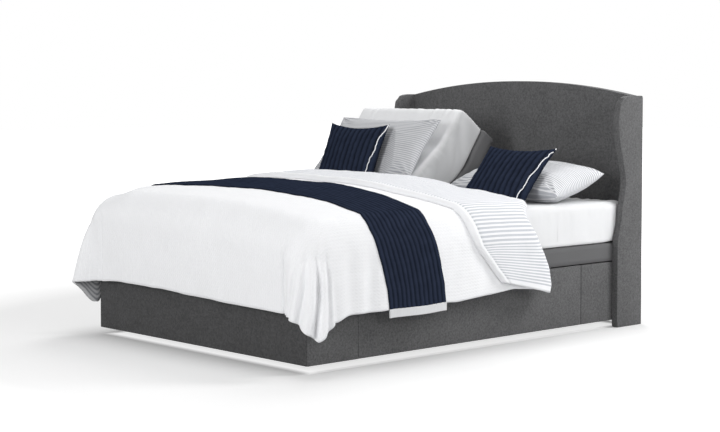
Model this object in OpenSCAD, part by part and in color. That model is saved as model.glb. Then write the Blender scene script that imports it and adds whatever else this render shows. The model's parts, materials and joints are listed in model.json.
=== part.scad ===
// Adjustable bed with a winged headboard, split head sections and its bedding.
// Lengths are millimetres. Y runs from the foot to the head, X across, Z up from the floor.

/* [Base] */
// Width of the base and of the mattress
base_w = 1500; // [1350:10:1800]
// Height of the gap under the upholstered panels
floor_gap = 34; // [20:1:60]
// Height of the upholstered panels
panel_h = 284; // [270:2:340]
// Thickness of the upholstered panels
panel_t = 20; // [14:1:30]
// Radius of the upright corners at the foot
panel_corner_r = 9; // [4:1:16]
// Length of each corner panel along the side
foot_corner_l = 280; // [200:10:400]
// Distance of the head seam from the foot face, as a share of the mattress
head_seam_share = 0.857; // [0.8:0.001:0.9]
// Width of the open seam between two side panels
seam_gap = 1.6; // [0.5:0.1:4]

/* [Deck and mattress] */
// Gap between the panels and the deck
deck_gap = 2; // [1.5:0.5:6]
// Thickness of the upholstered deck sections
deck_t = 91; // [70:1:110]
// Thickness of the mattress
mattress_t = 200; // [150:5:280]
// Length of the mattress. The base and its folds follow it
mattress_l = 2000; // [1880:10:2200]
// Gap between the foot face and the mattress
foot_gap = 62; // [40:1:80]
// Gap between the mattress and the headboard
head_gap = 16; // [14:1:30]
// Radius of the mattress edges
mattress_edge_r = 38; // [10:1:50]
// Gap between the two head halves
split_gap = 2; // [1:0.5:10]

/* [Sections] */
// Distance of the knee fold from the foot face, as a share of the mattress
knee_share = 0.33; // [0.3:0.005:0.35]
// The same of the thigh fold
thigh_share = 0.525; // [0.51:0.005:0.535]
// The same of the back fold
back_share = 0.635; // [0.625:0.005:0.65]
// The same of the neck fold
neck_share = 0.9; // [0.87:0.005:0.91]
// Angle of the left back section as stored
back_left_rest = 38; // [0:1:55]
// Angle of the left neck section against its back section as stored
neck_left_rest = 15; // [0:1:25]
// Largest angle of a back section
back_max = 55; // [40:1:60]
// Largest angle of a neck section against its back section
neck_max = 25; // [10:1:30]
// Largest angle of the thigh section
thigh_max = 30; // [20:1:32]
// Turn of the knee for each degree of the thigh
knee_ratio = 1.58; // [1.3:0.01:1.59]

/* [Headboard] */
// Thickness of the headboard panel
headboard_t = 51; // [40:1:70]
// Height of the wings and of the panel at its ends
wing_h = 1120; // [1000:5:1300]
// Height of the arch above the wings
arch_rise = 72; // [20:1:120]
// Thickness of a wing
wing_t = 34; // [24:1:50]
// Depth of a wing from front to back at the floor
wing_d = 186; // [150:1:240]
// Height at which the wing starts to curve
wing_straight_h = 406; // [350:2:500]
// Depth of the wing at its waist
wing_waist_d = 127; // [100:1:150]
// Height of the waist
wing_waist_h = 712; // [650:2:760]
// Gap between a wing and the deck, and between a wing and the side panels
wing_gap = 2; // [1.5:0.5:6]
// Height of the lower edge of the headboard panel
headboard_z = 60; // [40:5:150]

/* [Frame] */
// Width of the side rails
rail_w = 40; // [30:1:50]
// Height of the side rails
rail_h = 60; // [40:1:70]
// Height of the underside of the side rails
rail_z = 230; // [215:1:232]
// Depth and height of the cross members
cross_t = 40; // [30:1:50]
// Distance of the legs from the centre line
leg_x = 480; // [440:5:520]
// Radius of the legs
leg_r = 19; // [12:1:25]
// Height of the plastic glides
glide_h = 12; // [8:1:20]
// Radius of the plastic glides
glide_r = 25; // [20:1:35]

/* [Hinges] */
// Radius of the hinge pins
pin_r = 4; // [3:0.5:5]
// Running clearance of pins and rods in their bores
run_clear = 0.05; // [0.03:0.01:0.1]
// Radius of the hinge knuckles
knuckle_r = 7; // [6.5:0.5:8]
// Depth of the fold axis under the deck surface
axis_drop = 7; // [6:0.5:9]
// Width of one hinge
hinge_w = 66; // [48:3:90]
// Thickness of the hinge leaves
leaf_t = 3; // [2:0.5:4]
// Height of the hinge leaves
leaf_h = 46; // [30:1:60]

/* [Actuators] */
// Distance of the back actuators from the centre line
back_act_x = 375; // [340:5:400]
// Distance of the back actuator's rear pin in front of the back fold
back_act_run = 360; // [355:1:370]
// Depth of the back actuator's rear pin under the fold
back_act_drop = 230; // [225:1:235]
// Distance of the back lift pin behind the back fold
back_lift_run = 30; // [28:1:34]
// Distance of the leg actuator's rear pin from the thigh fold
leg_act_run = 360; // [355:1:370]
// Depth of the leg actuator's rear pin under the fold
leg_act_drop = 200; // [195:1:205]
// Distance of the thigh lift pin from the thigh fold
leg_lift_run = 70; // [66:1:74]
// Depth of the lift pins under the folds
lift_drop = 150; // [146:1:154]
// Radius of the actuator's outer tube
tube_r = 16; // [14:1:18]
// Length of the actuator from its rear pin to the mouth of the tube
tube_l = 330; // [320:1:340]
// Radius of the actuator's rod
rod_r = 10; // [8:0.5:12]
// Length of the actuator's rod
rod_l = 270; // [262:2:274]
// Radius of the actuator pins
act_pin_r = 5; // [4:0.5:6]
// Distance between the ears of a lift bracket
ear_gap = 30; // [26:1:34]
// Thickness of the ears
ear_t = 5; // [3:0.5:8]

/* [Bedding] */
// Height of the duvet's crown above the mattress
duvet_crown = 113; // [60:1:150]
// Height of the duvet's shoulder above the mattress, on the flat side
duvet_shoulder = 24; // [16:1:50]
// The same on the raised side
duvet_shoulder_raised = 80; // [40:2:90]
// Fall of the crown towards the foot for each metre, from the duvet's middle on
duvet_slope = 55; // [0:5:80]
// Height of the duvet's hem above the floor
duvet_hem_z = 235; // [225:5:300]
// How far the duvet stands out at the sides and at the foot
duvet_out = 128; // [120:1:140]
// How far the ears at the foot corners stand out past the hem
duvet_ear = 64; // [20:2:80]
// How far the folds beside the ears are drawn in
duvet_valley = 16; // [0:1:20]
// Distance of the duvet's head edge from the foot face on the flat side, as a share of the mattress
duvet_head_share = 0.715; // [0.7:0.005:0.72]
// The same on the raised side
duvet_head_raised_share = 0.598; // [0.575:0.001:0.6]
// Thickness of the duvet at its hem
duvet_hem_t = 20; // [12:1:24]
// Extra thickness where the duvet is turned back
turn_back_t = 22; // [10:1:35]
// Distance of the turned-back edge from the foot face on top of the bed, as a share of the mattress
turn_back_share = 0.465; // [0.44:0.005:0.48]
// How much further towards the head the turned-back edge lies at the hem
turn_back_slant = 130; // [0:10:150]
// Distance of the runner's foot edge from the foot face at the hem, as a share of the mattress
runner_share = 0.2; // [0.15:0.005:0.22]
// How much further towards the foot the runner lies on top, on the flat side
runner_slant = 50; // [0:5:80]
// The same on the raised side
runner_slant_raised = 90; // [0:5:110]
// Width of the runner
runner_w = 312; // [250:2:400]
// Thickness of the runner
runner_t = 5; // [3:0.5:8]
// How far the runner hangs below the duvet
runner_extra = 34; // [10:2:60]
// Width of a pillow
pillow_w = 728; // [600:4:732]
// Height of a pillow
pillow_h = 360; // [340:5:380]
// How far a pillow's underside is pressed flat by its weight
pillow_sink = 18; // [0:1:24]
// Thickness of the left pillow
pillow_left_t = 130; // [80:2:150]
// Thickness of the right pillow
pillow_right_t = 156; // [100:2:170]
// Distance of the left pillow's middle behind the back fold
pillow_left_s = 406; // [404:1:440]
// Distance of the right pillow's middle behind the back fold
pillow_right_s = 464; // [460:2:520]
// Tilt of the left pillow against its section
pillow_left_tilt = 14; // [6:1:15]
// Tilt of the right pillow against its section
pillow_right_tilt = 13; // [4:1:14]
// Width of a cushion
cushion_w = 430; // [350:5:480]
// Height of a cushion
cushion_h = 340; // [280:5:350]
// Thickness of a cushion
cushion_t = 76; // [60:2:84]
// Distance of the left cushion from the centre line
cushion_left_x = 447; // [380:1:460]
// Distance of the right cushion from the centre line
cushion_right_x = 395; // [380:1:460]
// Distance of the left cushion's middle behind the back fold
cushion_left_s = 276; // [270:1:284]
// Distance of the right cushion's middle behind the back fold
cushion_right_s = 300; // [290:1:310]
// Tilt of the left cushion against its section
cushion_left_tilt = 27; // [25:1:32]
// Tilt of the right cushion against its section
cushion_right_tilt = 45; // [40:1:52]
// Number of sewn channels across a cushion
channels = 12; // [8:1:14]
// Depth of the sewn channels
channel_depth = 6; // [2:1:8]

/* [Hidden] */
$fn = 48;

cloth_grey = [0.27, 0.27, 0.28];
deck_grey = [0.36, 0.36, 0.37];
sheet_white = [0.93, 0.93, 0.93];
navy = [0.06, 0.08, 0.16];
steel = [0.55, 0.56, 0.58];
black_plastic = [0.10, 0.10, 0.11];

half_w = base_w / 2;
base_l = foot_gap + mattress_l + head_gap;
head_seam_y = head_seam_share * mattress_l;
knee_y = knee_share * mattress_l;
thigh_y = thigh_share * mattress_l;
back_y = back_share * mattress_l;
neck_y = neck_share * mattress_l;
duvet_head_y = duvet_head_share * mattress_l;
duvet_head_raised_y = duvet_head_raised_share * mattress_l;
turn_back_y = turn_back_share * mattress_l;
runner_y = runner_share * mattress_l;
panel_top = floor_gap + panel_h;
deck_z = panel_top + deck_gap;
deck_top = deck_z + deck_t;
mattress_top = deck_top + mattress_t;
axis_z = deck_top - axis_drop;
rail_top = rail_z + rail_h;
rail_x = half_w - panel_t - rail_w;
headboard_back = base_l + headboard_t;
mattress_head = base_l - head_gap;
mattress_foot = mattress_head - mattress_l;

// Half the opening of each fold in the mattress, so that its sides never meet
fold_spare = 1;
back_mitre = back_max / 2 + fold_spare;
neck_mitre = neck_max / 2 + fold_spare;
thigh_mitre = thigh_max / 2 + fold_spare;
knee_mitre = thigh_max * knee_ratio / 2 + fold_spare;
deck_end = knuckle_r + 1;
deck_foot = 6;
soft_gap = 0.5;

hinge_xs = [hinge_w + 24, half_w - hinge_w - 24];
cross_shares = [0.15, 0.86];
bracket_reach = 20;
cross_ys = [panel_t, mattress_l * cross_shares[0], back_y - back_act_run - bracket_reach - cross_t,
    thigh_y + leg_act_run + bracket_reach, mattress_l * cross_shares[1]];
leg_ys = [cross_ys[1], cross_ys[2], cross_ys[4]];

// The duvet's shoulder, the steps of its fall and its foremost point, which is an ear or the hem
shoulder_in = 50;
shoulder_x = half_w - shoulder_in;
shoulder_y = mattress_foot + 16;
shoulder_drop = 165;
shoulder_run = 232;
hang_run = shoulder_run + mattress_top + duvet_shoulder - shoulder_drop - duvet_hem_z;
drops = [for (k = [0:4]) shoulder_run * k / 4, for (k = [1:4]) shoulder_run + (hang_run - shoulder_run) * k / 4];
last = len(drops) - 1;
across = concat([for (k = [last:-1:1]) -k], [for (k = [-5:5]) k / 100], [for (k = [1:last]) k]);
ear_shorten = 0.74;
ear_forward = 0.55;
function ear_share(r) = pow(max(0, (r - shoulder_run) / (hang_run - shoulder_run)), 0.7);
ear_reach = (duvet_out + ear_forward * duvet_ear * ear_share(hang_run * sqrt(2))) / sqrt(2);
origin_y = (headboard_back + shoulder_y - max(duvet_out, ear_reach)) / 2;

// Where things stand: the model's origin, the folds and the sections as stored
module bed() {
    translate([0, -origin_y, 0]) children();
}
module folded(y, angle) {
    translate([0, y, axis_z]) rotate([angle, 0, 0]) translate([0, -y, -axis_z]) children();
}
module on_back(side) {
    bed() folded(back_y, side < 0 ? back_left_rest : 0) children();
}
module on_neck(side) {
    on_back(side) folded(neck_y, side < 0 ? neck_left_rest : 0) children();
}

// Upholstered panels of the base
module rounded_plan() {
    r = panel_corner_r;
    translate([-half_w, r]) square([base_w, base_l - r]);
    translate([r - half_w, 0]) square([base_w - 2 * r, 2 * r]);
    for (s = [-1, 1]) translate([s * (half_w - r), r]) circle(r);
}
module panel_ring() {
    difference() {
        rounded_plan();
        translate([panel_t - half_w, panel_t]) square([base_w - 2 * panel_t, base_l]);
    }
}
module foot_mitre() {
    far = panel_t * 2;
    polygon([[-half_w, 0], [half_w, 0], [half_w - far, far], [far - half_w, far]]);
}
module panel_length(side, from, to) {
    bed() translate([0, 0, floor_gap]) linear_extrude(panel_h) intersection() {
        panel_ring();
        translate([side > 0 ? 0 : -base_w, from]) square([base_w, to - from]);
    }
}
module foot_panel() {
    color(cloth_grey) bed() translate([0, 0, floor_gap]) linear_extrude(panel_h) intersection() {
        panel_ring();
        foot_mitre();
    }
}
module foot_corner_panels() {
    color(cloth_grey) bed() translate([0, 0, floor_gap]) linear_extrude(panel_h)
        for (x = [-half_w, half_w - 2 * panel_t]) difference() {
            intersection() {
                panel_ring();
                translate([x, 0]) square([2 * panel_t, foot_corner_l - seam_gap / 2]);
            }
            foot_mitre();
        }
}
module side_panel(side) {
    color(cloth_grey) panel_length(side, foot_corner_l + seam_gap / 2, head_seam_y - seam_gap / 2);
}
module side_panel_left() { side_panel(-1); }
module side_panel_right() { side_panel(1); }
module head_corner_panels() {
    color(cloth_grey) for (side = [-1, 1]) panel_length(side, head_seam_y + seam_gap / 2, base_l);
}

// Headboard: an arched panel between two wings that stand on the floor
function arch_z(x) = wing_h + arch_rise * (1 - pow(abs(x) / (half_w + wing_gap), 2.05));
module headboard_bolt_at(r, from, to) {
    for (s = [-1, 1], z = [rail_z - 8, rail_top + 8])
        translate([s * (rail_x + rail_w / 2), from, z]) rotate([-90, 0, 0]) cylinder(r = r, h = to - from);
}
bolt_r = 4;
bolt_depth = 34;
module headboard_panel() {
    edge = half_w + wing_gap;
    steps = 32;
    arch = [for (k = [0:steps]) let (x = edge - 2 * edge * k / steps) [x, arch_z(x)]];
    color(cloth_grey) bed() difference() {
        translate([0, headboard_back, 0]) rotate([90, 0, 0]) linear_extrude(headboard_t)
            polygon(concat([[-edge, headboard_z], [edge, headboard_z]], arch));
        headboard_bolt_at(bolt_r + 0.2, base_l - 1, base_l + bolt_depth);
    }
}
// Cosine steps between the depths that the wing has at its own heights
wing_levels = [wing_straight_h, 530, wing_waist_h, 830, 900, 995, 1077, 1110];
wing_depths = [wing_d, 157, wing_waist_d, 152, 175, wing_d - 1, 171, 143];
function eased(a, b, t) = a + (b - a) * (1 - cos(180 * t)) / 2;
function wing_outline() = concat(
    [[headboard_back, 0], [headboard_back - wing_d + 6, 0], [headboard_back - wing_d, 6]],
    [for (z = [0:len(wing_levels) - 2], t = [0:0.25:0.75])
        let (straight = z == 3 || z == 4)
        [headboard_back - (straight ? wing_depths[z] + (wing_depths[z + 1] - wing_depths[z]) * t
            : eased(wing_depths[z], wing_depths[z + 1], t)),
            wing_levels[z] + (wing_levels[z + 1] - wing_levels[z]) * t]],
    [[headboard_back - 143, 1110], [headboard_back - 118, wing_h - 3], [headboard_back - 85, wing_h],
        [headboard_back, wing_h]]);
module headboard_wing(side) {
    color(cloth_grey) bed() translate([side > 0 ? half_w + wing_gap : -half_w - wing_gap - wing_t, 0, 0])
        rotate([90, 0, 90]) linear_extrude(wing_t) polygon(wing_outline());
}
module headboard_wing_left() { headboard_wing(-1); }
module headboard_wing_right() { headboard_wing(1); }
plate_t = 5;
rail_end = base_l - plate_t;
module headboard_brackets() {
    color(steel) bed() difference() {
        for (s = [-1, 1]) translate([s > 0 ? rail_x : -rail_x - rail_w, rail_end, rail_z - 24])
            cube([rail_w, plate_t, rail_h + 48]);
        headboard_bolt_at(bolt_r + 0.2, rail_end - 1, base_l + 1);
    }
}
module headboard_bolts() {
    color(steel) bed() union() {
        headboard_bolt_at(bolt_r, rail_end - 1, base_l + bolt_depth - 2);
        headboard_bolt_at(bolt_r * 1.7, rail_end - 6, rail_end);
    }
}

// Steel frame inside the base
module frame_rail(side) {
    color(steel) bed() translate([side > 0 ? rail_x : -rail_x - rail_w, panel_t, rail_z])
        cube([rail_w, rail_end - panel_t, rail_h]);
}
module frame_rail_left() { frame_rail(-1); }
module frame_rail_right() { frame_rail(1); }
module frame_cross_members() {
    color(steel) bed() for (y = cross_ys) translate([-rail_x, y, rail_z]) cube([2 * rail_x, cross_t, cross_t]);
}
module support_legs() {
    color(steel) bed() for (y = leg_ys, s = [-1, 1])
        translate([s * leg_x, y + cross_t / 2, glide_h]) cylinder(r = leg_r, h = rail_z - glide_h);
}
module leg_glides() {
    color(black_plastic) bed() for (y = leg_ys, s = [-1, 1])
        translate([s * leg_x, y + cross_t / 2, 0]) cylinder(r = glide_r, h = glide_h);
}
module seat_blocks() {
    color(steel) bed() for (s = [-1, 1])
        translate([s > 0 ? rail_x : -rail_x - rail_w, thigh_y + deck_end + 20, rail_top])
            cube([rail_w, back_y - thigh_y - 2 * deck_end - 40, deck_z - rail_top]);
}
buffer_r = 12;
buffer_ys = [knee_y - 510, knee_y - 120, knee_y + 120, thigh_y - 80, back_y + 150, neck_y - 90, neck_y + 180];
module deck_buffers() {
    color(black_plastic) bed() for (s = [-1, 1], y = buffer_ys)
        translate([s * (rail_x + rail_w / 2), y, rail_top]) cylinder(r = buffer_r, h = deck_z - rail_top - 0.3);
}

// Deck sections: an upholstered slab whose ends may lean by a mitre at the fold
module deck_slab(from, to, low_from, low_to, x0, x1) {
    round_r = 5;
    translate([x0, 0, 0]) rotate([90, 0, 90]) linear_extrude(x1 - x0)
        polygon([[from, deck_top - round_r], [from + round_r, deck_top], [to - round_r, deck_top],
            [to, deck_top - round_r], [to - low_to, deck_z], [from + low_from, deck_z]]);
}
module half_deck(side, from, to) {
    deck_slab(from, to, 0, 0, side > 0 ? split_gap / 2 : -half_w, side > 0 ? half_w : -split_gap / 2);
}
knee_lean = (deck_t - 5) * tan(knee_mitre);
module seat_deck() {
    color(deck_grey) bed() deck_slab(thigh_y + deck_end, back_y - deck_end, 0, 0, -half_w, half_w);
}
module back_deck(side) {
    color(deck_grey) on_back(side) half_deck(side, back_y + deck_end, neck_y - deck_end);
}
module back_deck_left() { back_deck(-1); }
module back_deck_right() { back_deck(1); }
module neck_deck(side) {
    color(deck_grey) on_neck(side) half_deck(side, neck_y + deck_end, mattress_head);
}
module neck_deck_left() { neck_deck(-1); }
module neck_deck_right() { neck_deck(1); }
module thigh_deck() {
    color(deck_grey) bed() deck_slab(knee_y + deck_end, thigh_y - deck_end, knee_lean, 0, -half_w, half_w);
}
module calf_deck() {
    color(deck_grey) bed() deck_slab(deck_foot, knee_y - deck_end, 0, knee_lean, -half_w, half_w);
}

// Mattress sections, cut along leaning planes where the mattress folds
mattress_z = deck_top + soft_gap;
function lean(angle, z) = (z - axis_z) * tan(angle);
module mattress_cross(x0, x1) {
    edge = mattress_edge_r;
    low_edge = 12;
    union() {
        translate([x0 + low_edge, mattress_z]) square([x1 - x0 - 2 * low_edge, low_edge]);
        translate([x0, mattress_z + low_edge])
            square([x1 - x0, mattress_top - mattress_z - low_edge - edge]);
        translate([x0 + edge, mattress_top - edge - 1]) square([x1 - x0 - 2 * edge, edge + 1]);
        for (x = [x0 + low_edge, x1 - low_edge]) translate([x, mattress_z + low_edge]) circle(low_edge);
        for (x = [x0 + edge, x1 - edge]) translate([x, mattress_top - edge]) circle(edge);
    }
}
module mattress_part(outline, x0, x1) {
    intersection() {
        translate([x0, 0, 0]) rotate([90, 0, 90]) linear_extrude(x1 - x0) polygon(outline);
        translate([0, base_l, 0]) rotate([90, 0, 0]) linear_extrude(base_l) mattress_cross(x0, x1);
    }
}
function square_outline(y0, y1, a0, a1) = [
    [y0 + lean(a0, mattress_z), mattress_z], [y1 - lean(a1, mattress_z), mattress_z],
    [y1 - lean(a1, mattress_top), mattress_top], [y0 + lean(a0, mattress_top), mattress_top]];
function round_end(y, z, r, from, way) =
    [for (k = [0:6]) let (a = from + way * 15 * k) [y + r * cos(a), z + r * sin(a)]];
module half_mattress(side, outline) {
    mattress_part(outline, side > 0 ? split_gap / 2 : -half_w, side > 0 ? half_w : -split_gap / 2);
}
module mattress_seat() {
    color(sheet_white) bed()
        mattress_part(square_outline(thigh_y, back_y, thigh_mitre, back_mitre), -half_w, half_w);
}
module mattress_back(side) {
    color(sheet_white) on_back(side)
        half_mattress(side, square_outline(back_y, neck_y, back_mitre, neck_mitre));
}
module mattress_back_left() { mattress_back(-1); }
module mattress_back_right() { mattress_back(1); }
module mattress_neck(side) {
    r = mattress_edge_r;
    outline = concat([[neck_y + lean(neck_mitre, mattress_z), mattress_z], [mattress_head, mattress_z]],
        round_end(mattress_head - r, mattress_top - r, r, 0, 1),
        [[neck_y + lean(neck_mitre, mattress_top), mattress_top]]);
    color(sheet_white) on_neck(side) half_mattress(side, outline);
}
module mattress_neck_left() { mattress_neck(-1); }
module mattress_neck_right() { mattress_neck(1); }
module mattress_thigh() {
    color(sheet_white) bed()
        mattress_part(square_outline(knee_y + soft_gap, thigh_y, 0, thigh_mitre), -half_w, half_w);
}
module mattress_calf() {
    r = mattress_edge_r;
    outline = concat([[mattress_foot, mattress_z], [knee_y - soft_gap, mattress_z],
        [knee_y - soft_gap, mattress_top]], round_end(mattress_foot + r, mattress_top - r, r, 90, 1));
    color(sheet_white) bed() mattress_part(outline, -half_w, half_w);
}

// Hinges: a leaf on the end of a slab and its knuckles round the pin. dir is 1 where
// the leaf is behind the fold and -1 where it is in front; odd halves hold the middle knuckle.
third = hinge_w / 3;
module hinge_half(y, x, dir, middle, tilt) {
    bore = pin_r + run_clear;
    spans = middle ? [[third + 0.3, third - 0.6]] : [[0, third], [2 * third, third]];
    translate([x - hinge_w / 2, y, axis_z]) rotate([dir * tilt, 0, 0]) difference() {
        union() {
            translate([0, dir > 0 ? deck_end - leaf_t : -deck_end, -leaf_h])
                cube([hinge_w, leaf_t, leaf_h - knuckle_r - 2]);
            for (s = spans) translate([s[0], 0, 0]) {
                translate([0, dir > 0 ? deck_end - leaf_t : -deck_end, -knuckle_r - 2.5])
                    cube([s[1], leaf_t, knuckle_r + 2.5]);
                rotate([0, 90, 0]) cylinder(r = knuckle_r, h = s[1]);
            }
        }
        translate([-1, 0, 0]) rotate([0, 90, 0]) cylinder(r = bore, h = hinge_w + 2);
    }
}
module hinge_pin(y, x) {
    head_t = 2;
    translate([x - hinge_w / 2, y, axis_z]) rotate([0, 90, 0]) union() {
        translate([0, 0, -head_t]) cylinder(r = pin_r, h = hinge_w + 2 * head_t);
        for (z = [-head_t - 0.3, hinge_w + 0.3]) translate([0, 0, z]) cylinder(r = knuckle_r - 1, h = head_t);
    }
}
module seat_hinge_halves() {
    color(steel) bed() for (s = [-1, 1], x = hinge_xs) {
        hinge_half(back_y, s * x, -1, false, 0);
        hinge_half(thigh_y, s * x, 1, false, 0);
    }
}
module back_hinge_halves(side) {
    color(steel) on_back(side) for (x = hinge_xs) {
        hinge_half(back_y, side * x, 1, true, 0);
        hinge_half(neck_y, side * x, -1, false, 0);
    }
}
module back_hinge_halves_left() { back_hinge_halves(-1); }
module back_hinge_halves_right() { back_hinge_halves(1); }
module neck_hinge_halves(side) {
    color(steel) on_neck(side) for (x = hinge_xs) hinge_half(neck_y, side * x, 1, true, 0);
}
module neck_hinge_halves_left() { neck_hinge_halves(-1); }
module neck_hinge_halves_right() { neck_hinge_halves(1); }
module thigh_hinge_halves() {
    color(steel) bed() for (s = [-1, 1], x = hinge_xs) {
        hinge_half(thigh_y, s * x, -1, true, 0);
        hinge_half(knee_y, s * x, 1, false, knee_mitre);
    }
}
module calf_hinge_halves() {
    color(steel) bed() for (s = [-1, 1], x = hinge_xs) hinge_half(knee_y, s * x, -1, true, knee_mitre);
}
module seat_hinge_pins() {
    color(steel) bed() for (s = [-1, 1], x = hinge_xs, y = [back_y, thigh_y]) hinge_pin(y, s * x);
}
module neck_hinge_pins(side) {
    color(steel) on_back(side) for (x = hinge_xs) hinge_pin(neck_y, side * x);
}
module neck_hinge_pins_left() { neck_hinge_pins(-1); }
module neck_hinge_pins_right() { neck_hinge_pins(1); }
module knee_hinge_pins() {
    color(steel) bed() for (s = [-1, 1], x = hinge_xs) hinge_pin(knee_y, s * x);
}

// Linear actuators. The local frame has the rear pin at the origin and the rod along +Y.
back_rear = [back_y - back_act_run, axis_z - back_act_drop];
leg_rear = [thigh_y + leg_act_run, axis_z - leg_act_drop];
function turned(p, a) = [p[0] * cos(a) - p[1] * sin(a), p[0] * sin(a) + p[1] * cos(a)];
function back_lift(a) = [back_y, axis_z] + turned([back_lift_run, -lift_drop], a);
leg_lift = [thigh_y - leg_lift_run, axis_z - lift_drop];
module along(from, to) {
    d = to - from;
    translate([0, from[0], from[1]]) rotate([atan2(d[1], d[0]), 0, 0]) children();
}
eye_r = 13;
body_w = ear_gap - 2;
module actuator_body() {
    gear_y = 25;
    gear_l = 75;
    motor_r = 22;
    color(black_plastic) difference() {
        union() {
            translate([-body_w / 2, 0, 0]) rotate([0, 90, 0]) cylinder(r = eye_r, h = body_w);
            translate([-body_w / 2, 0, -eye_r]) cube([body_w, gear_y + 8, 2 * eye_r]);
            translate([-26, gear_y, -24]) cube([52, gear_l, 48]);
            translate([0, gear_y + gear_l - 1, 0]) rotate([-90, 0, 0]) cylinder(r = tube_r, h = tube_l + 1 - gear_y - gear_l);
            translate([0, 40, -24 - motor_r + 6]) rotate([-90, 0, 0]) cylinder(r = motor_r, h = 120);
        }
        translate([-body_w, 0, 0]) rotate([0, 90, 0]) cylinder(r = act_pin_r + run_clear, h = 2 * body_w);
        translate([0, 110, 0]) rotate([-90, 0, 0]) cylinder(r = rod_r + run_clear, h = tube_l);
    }
}
module actuator_rod(reach) {
    pin_l = ear_gap + 2 * ear_t + 6;
    color(steel) union() {
        translate([0, reach - rod_l, 0]) rotate([-90, 0, 0]) cylinder(r = rod_r, h = rod_l - 6);
        translate([-rod_r, reach, 0]) rotate([0, 90, 0]) cylinder(r = rod_r, h = 2 * rod_r);
        translate([-pin_l / 2, reach, 0]) rotate([0, 90, 0]) cylinder(r = act_pin_r, h = pin_l);
    }
}
module back_actuator(side) {
    bed() translate([side * back_act_x, 0, 0])
        along(back_rear, back_lift(side < 0 ? back_left_rest : 0)) actuator_body();
}
module back_actuator_left() { back_actuator(-1); }
module back_actuator_right() { back_actuator(1); }
module back_rod(side) {
    lift = back_lift(side < 0 ? back_left_rest : 0);
    bed() translate([side * back_act_x, 0, 0]) along(back_rear, lift) actuator_rod(norm(lift - back_rear));
}
module back_rod_left() { back_rod(-1); }
module back_rod_right() { back_rod(1); }
module leg_actuator() {
    bed() along(leg_rear, leg_lift) rotate([0, 180, 0]) actuator_body();
}
module leg_rod() {
    bed() along(leg_rear, leg_lift) actuator_rod(norm(leg_lift - leg_rear));
}
// Brackets on the cross members, each with its two ears and its pin
module rear_bracket(pin, face_y) {
    w = ear_gap + 2 * ear_t;
    low = pin[1] - 14;
    y0 = min(face_y, pin[0] - 14);
    y1 = max(face_y, pin[0] + 14);
    for (s = [-1, 1]) translate([s > 0 ? ear_gap / 2 : -w / 2, y0, low])
        cube([ear_t, y1 - y0, rail_z + cross_t - low]);
    translate([-w / 2, pin[0], pin[1]]) rotate([0, 90, 0]) cylinder(r = act_pin_r, h = w);
}
module actuator_brackets() {
    color(steel) bed() {
        for (s = [-1, 1]) translate([s * back_act_x, 0, 0]) rear_bracket(back_rear, cross_ys[2] + cross_t);
        rear_bracket(leg_rear, cross_ys[3]);
    }
}
// Slotted ears under a section: the pin shifts in the slot while the section turns
slot_low = 16;
slot_high = 9;
slot_half = act_pin_r + 5.5;
module lift_bracket(y) {
    w = ear_gap + 2 * ear_t;
    z = axis_z - lift_drop;
    half = slot_half + 9;
    difference() {
        union() {
            for (s = [-1, 1]) translate([s > 0 ? ear_gap / 2 : -w / 2, y - half, z - slot_low - 14])
                cube([ear_t, 2 * half, deck_z - z + slot_low + 14]);
            translate([-w / 2, y - half, deck_z - 4]) cube([w, 2 * half, 4]);
        }
        translate([-w, y, z + slot_high - 5]) rotate([0, 90, 0]) cylinder(r = slot_half, h = 2 * w);
        translate([-w, y, z - slot_low + 5]) rotate([0, 90, 0]) cylinder(r = slot_half, h = 2 * w);
        translate([-w, y - slot_half, z - slot_low + 5]) cube([2 * w, 2 * slot_half, slot_low + slot_high - 10]);
    }
}
module back_lift_bracket(side) {
    color(steel) on_back(side) translate([side * back_act_x, 0, 0]) lift_bracket(back_y + back_lift_run);
}
module back_lift_bracket_left() { back_lift_bracket(-1); }
module back_lift_bracket_right() { back_lift_bracket(1); }
module thigh_lift_bracket() {
    color(steel) bed() lift_bracket(thigh_y - leg_lift_run);
}

// Electrics behind the cross members
module control_box() {
    color(black_plastic) bed() translate([160, cross_ys[3] + cross_t, rail_z - 8]) cube([180, 62, 54]);
}
module power_supply() {
    color(black_plastic) bed() difference() {
        translate([-300, cross_ys[4] + cross_t, rail_z - 6]) cube([170, 64, 50]);
        translate([-229, cross_ys[4] + cross_t + 50, rail_z + 6]) cube([28, 20, 22]);
    }
}

// A closed solid between an outer and an inner grid of points, both [row][column]. The
// quads are split the same way on both sides of the middle column.
module sheet_solid(outer, inner) {
    n = len(outer) - 1;
    m = len(outer[0]) - 1;
    count = (n + 1) * (m + 1);
    function at(s, i, j) = s * count + i * (m + 1) + j;
    function quad(j, a, b, c, d) = j < m / 2 ? [[a, b, d], [b, c, d]] : [[a, b, c], [a, c, d]];
    polyhedron(
        points = [for (row = outer) each row, for (row = inner) each row],
        faces = [
            for (i = [0:n - 1], j = [0:m - 1])
                each quad(j, at(0, i, j), at(0, i, j + 1), at(0, i + 1, j + 1), at(0, i + 1, j)),
            for (i = [0:n - 1], j = [0:m - 1])
                each quad(j, at(1, i, j), at(1, i + 1, j), at(1, i + 1, j + 1), at(1, i, j + 1)),
            for (j = [0:m - 1]) each quad(m, at(0, 0, j), at(1, 0, j), at(1, 0, j + 1), at(0, 0, j + 1)),
            for (j = [0:m - 1]) each quad(m, at(0, n, j + 1), at(1, n, j + 1), at(1, n, j), at(0, n, j)),
            for (i = [0:n - 1]) each quad(m, at(0, i + 1, 0), at(1, i + 1, 0), at(1, i, 0), at(0, i, 0)),
            for (i = [0:n - 1]) each quad(m, at(0, i, m), at(1, i, m), at(1, i + 1, m), at(0, i + 1, m))
        ]);
}

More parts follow.
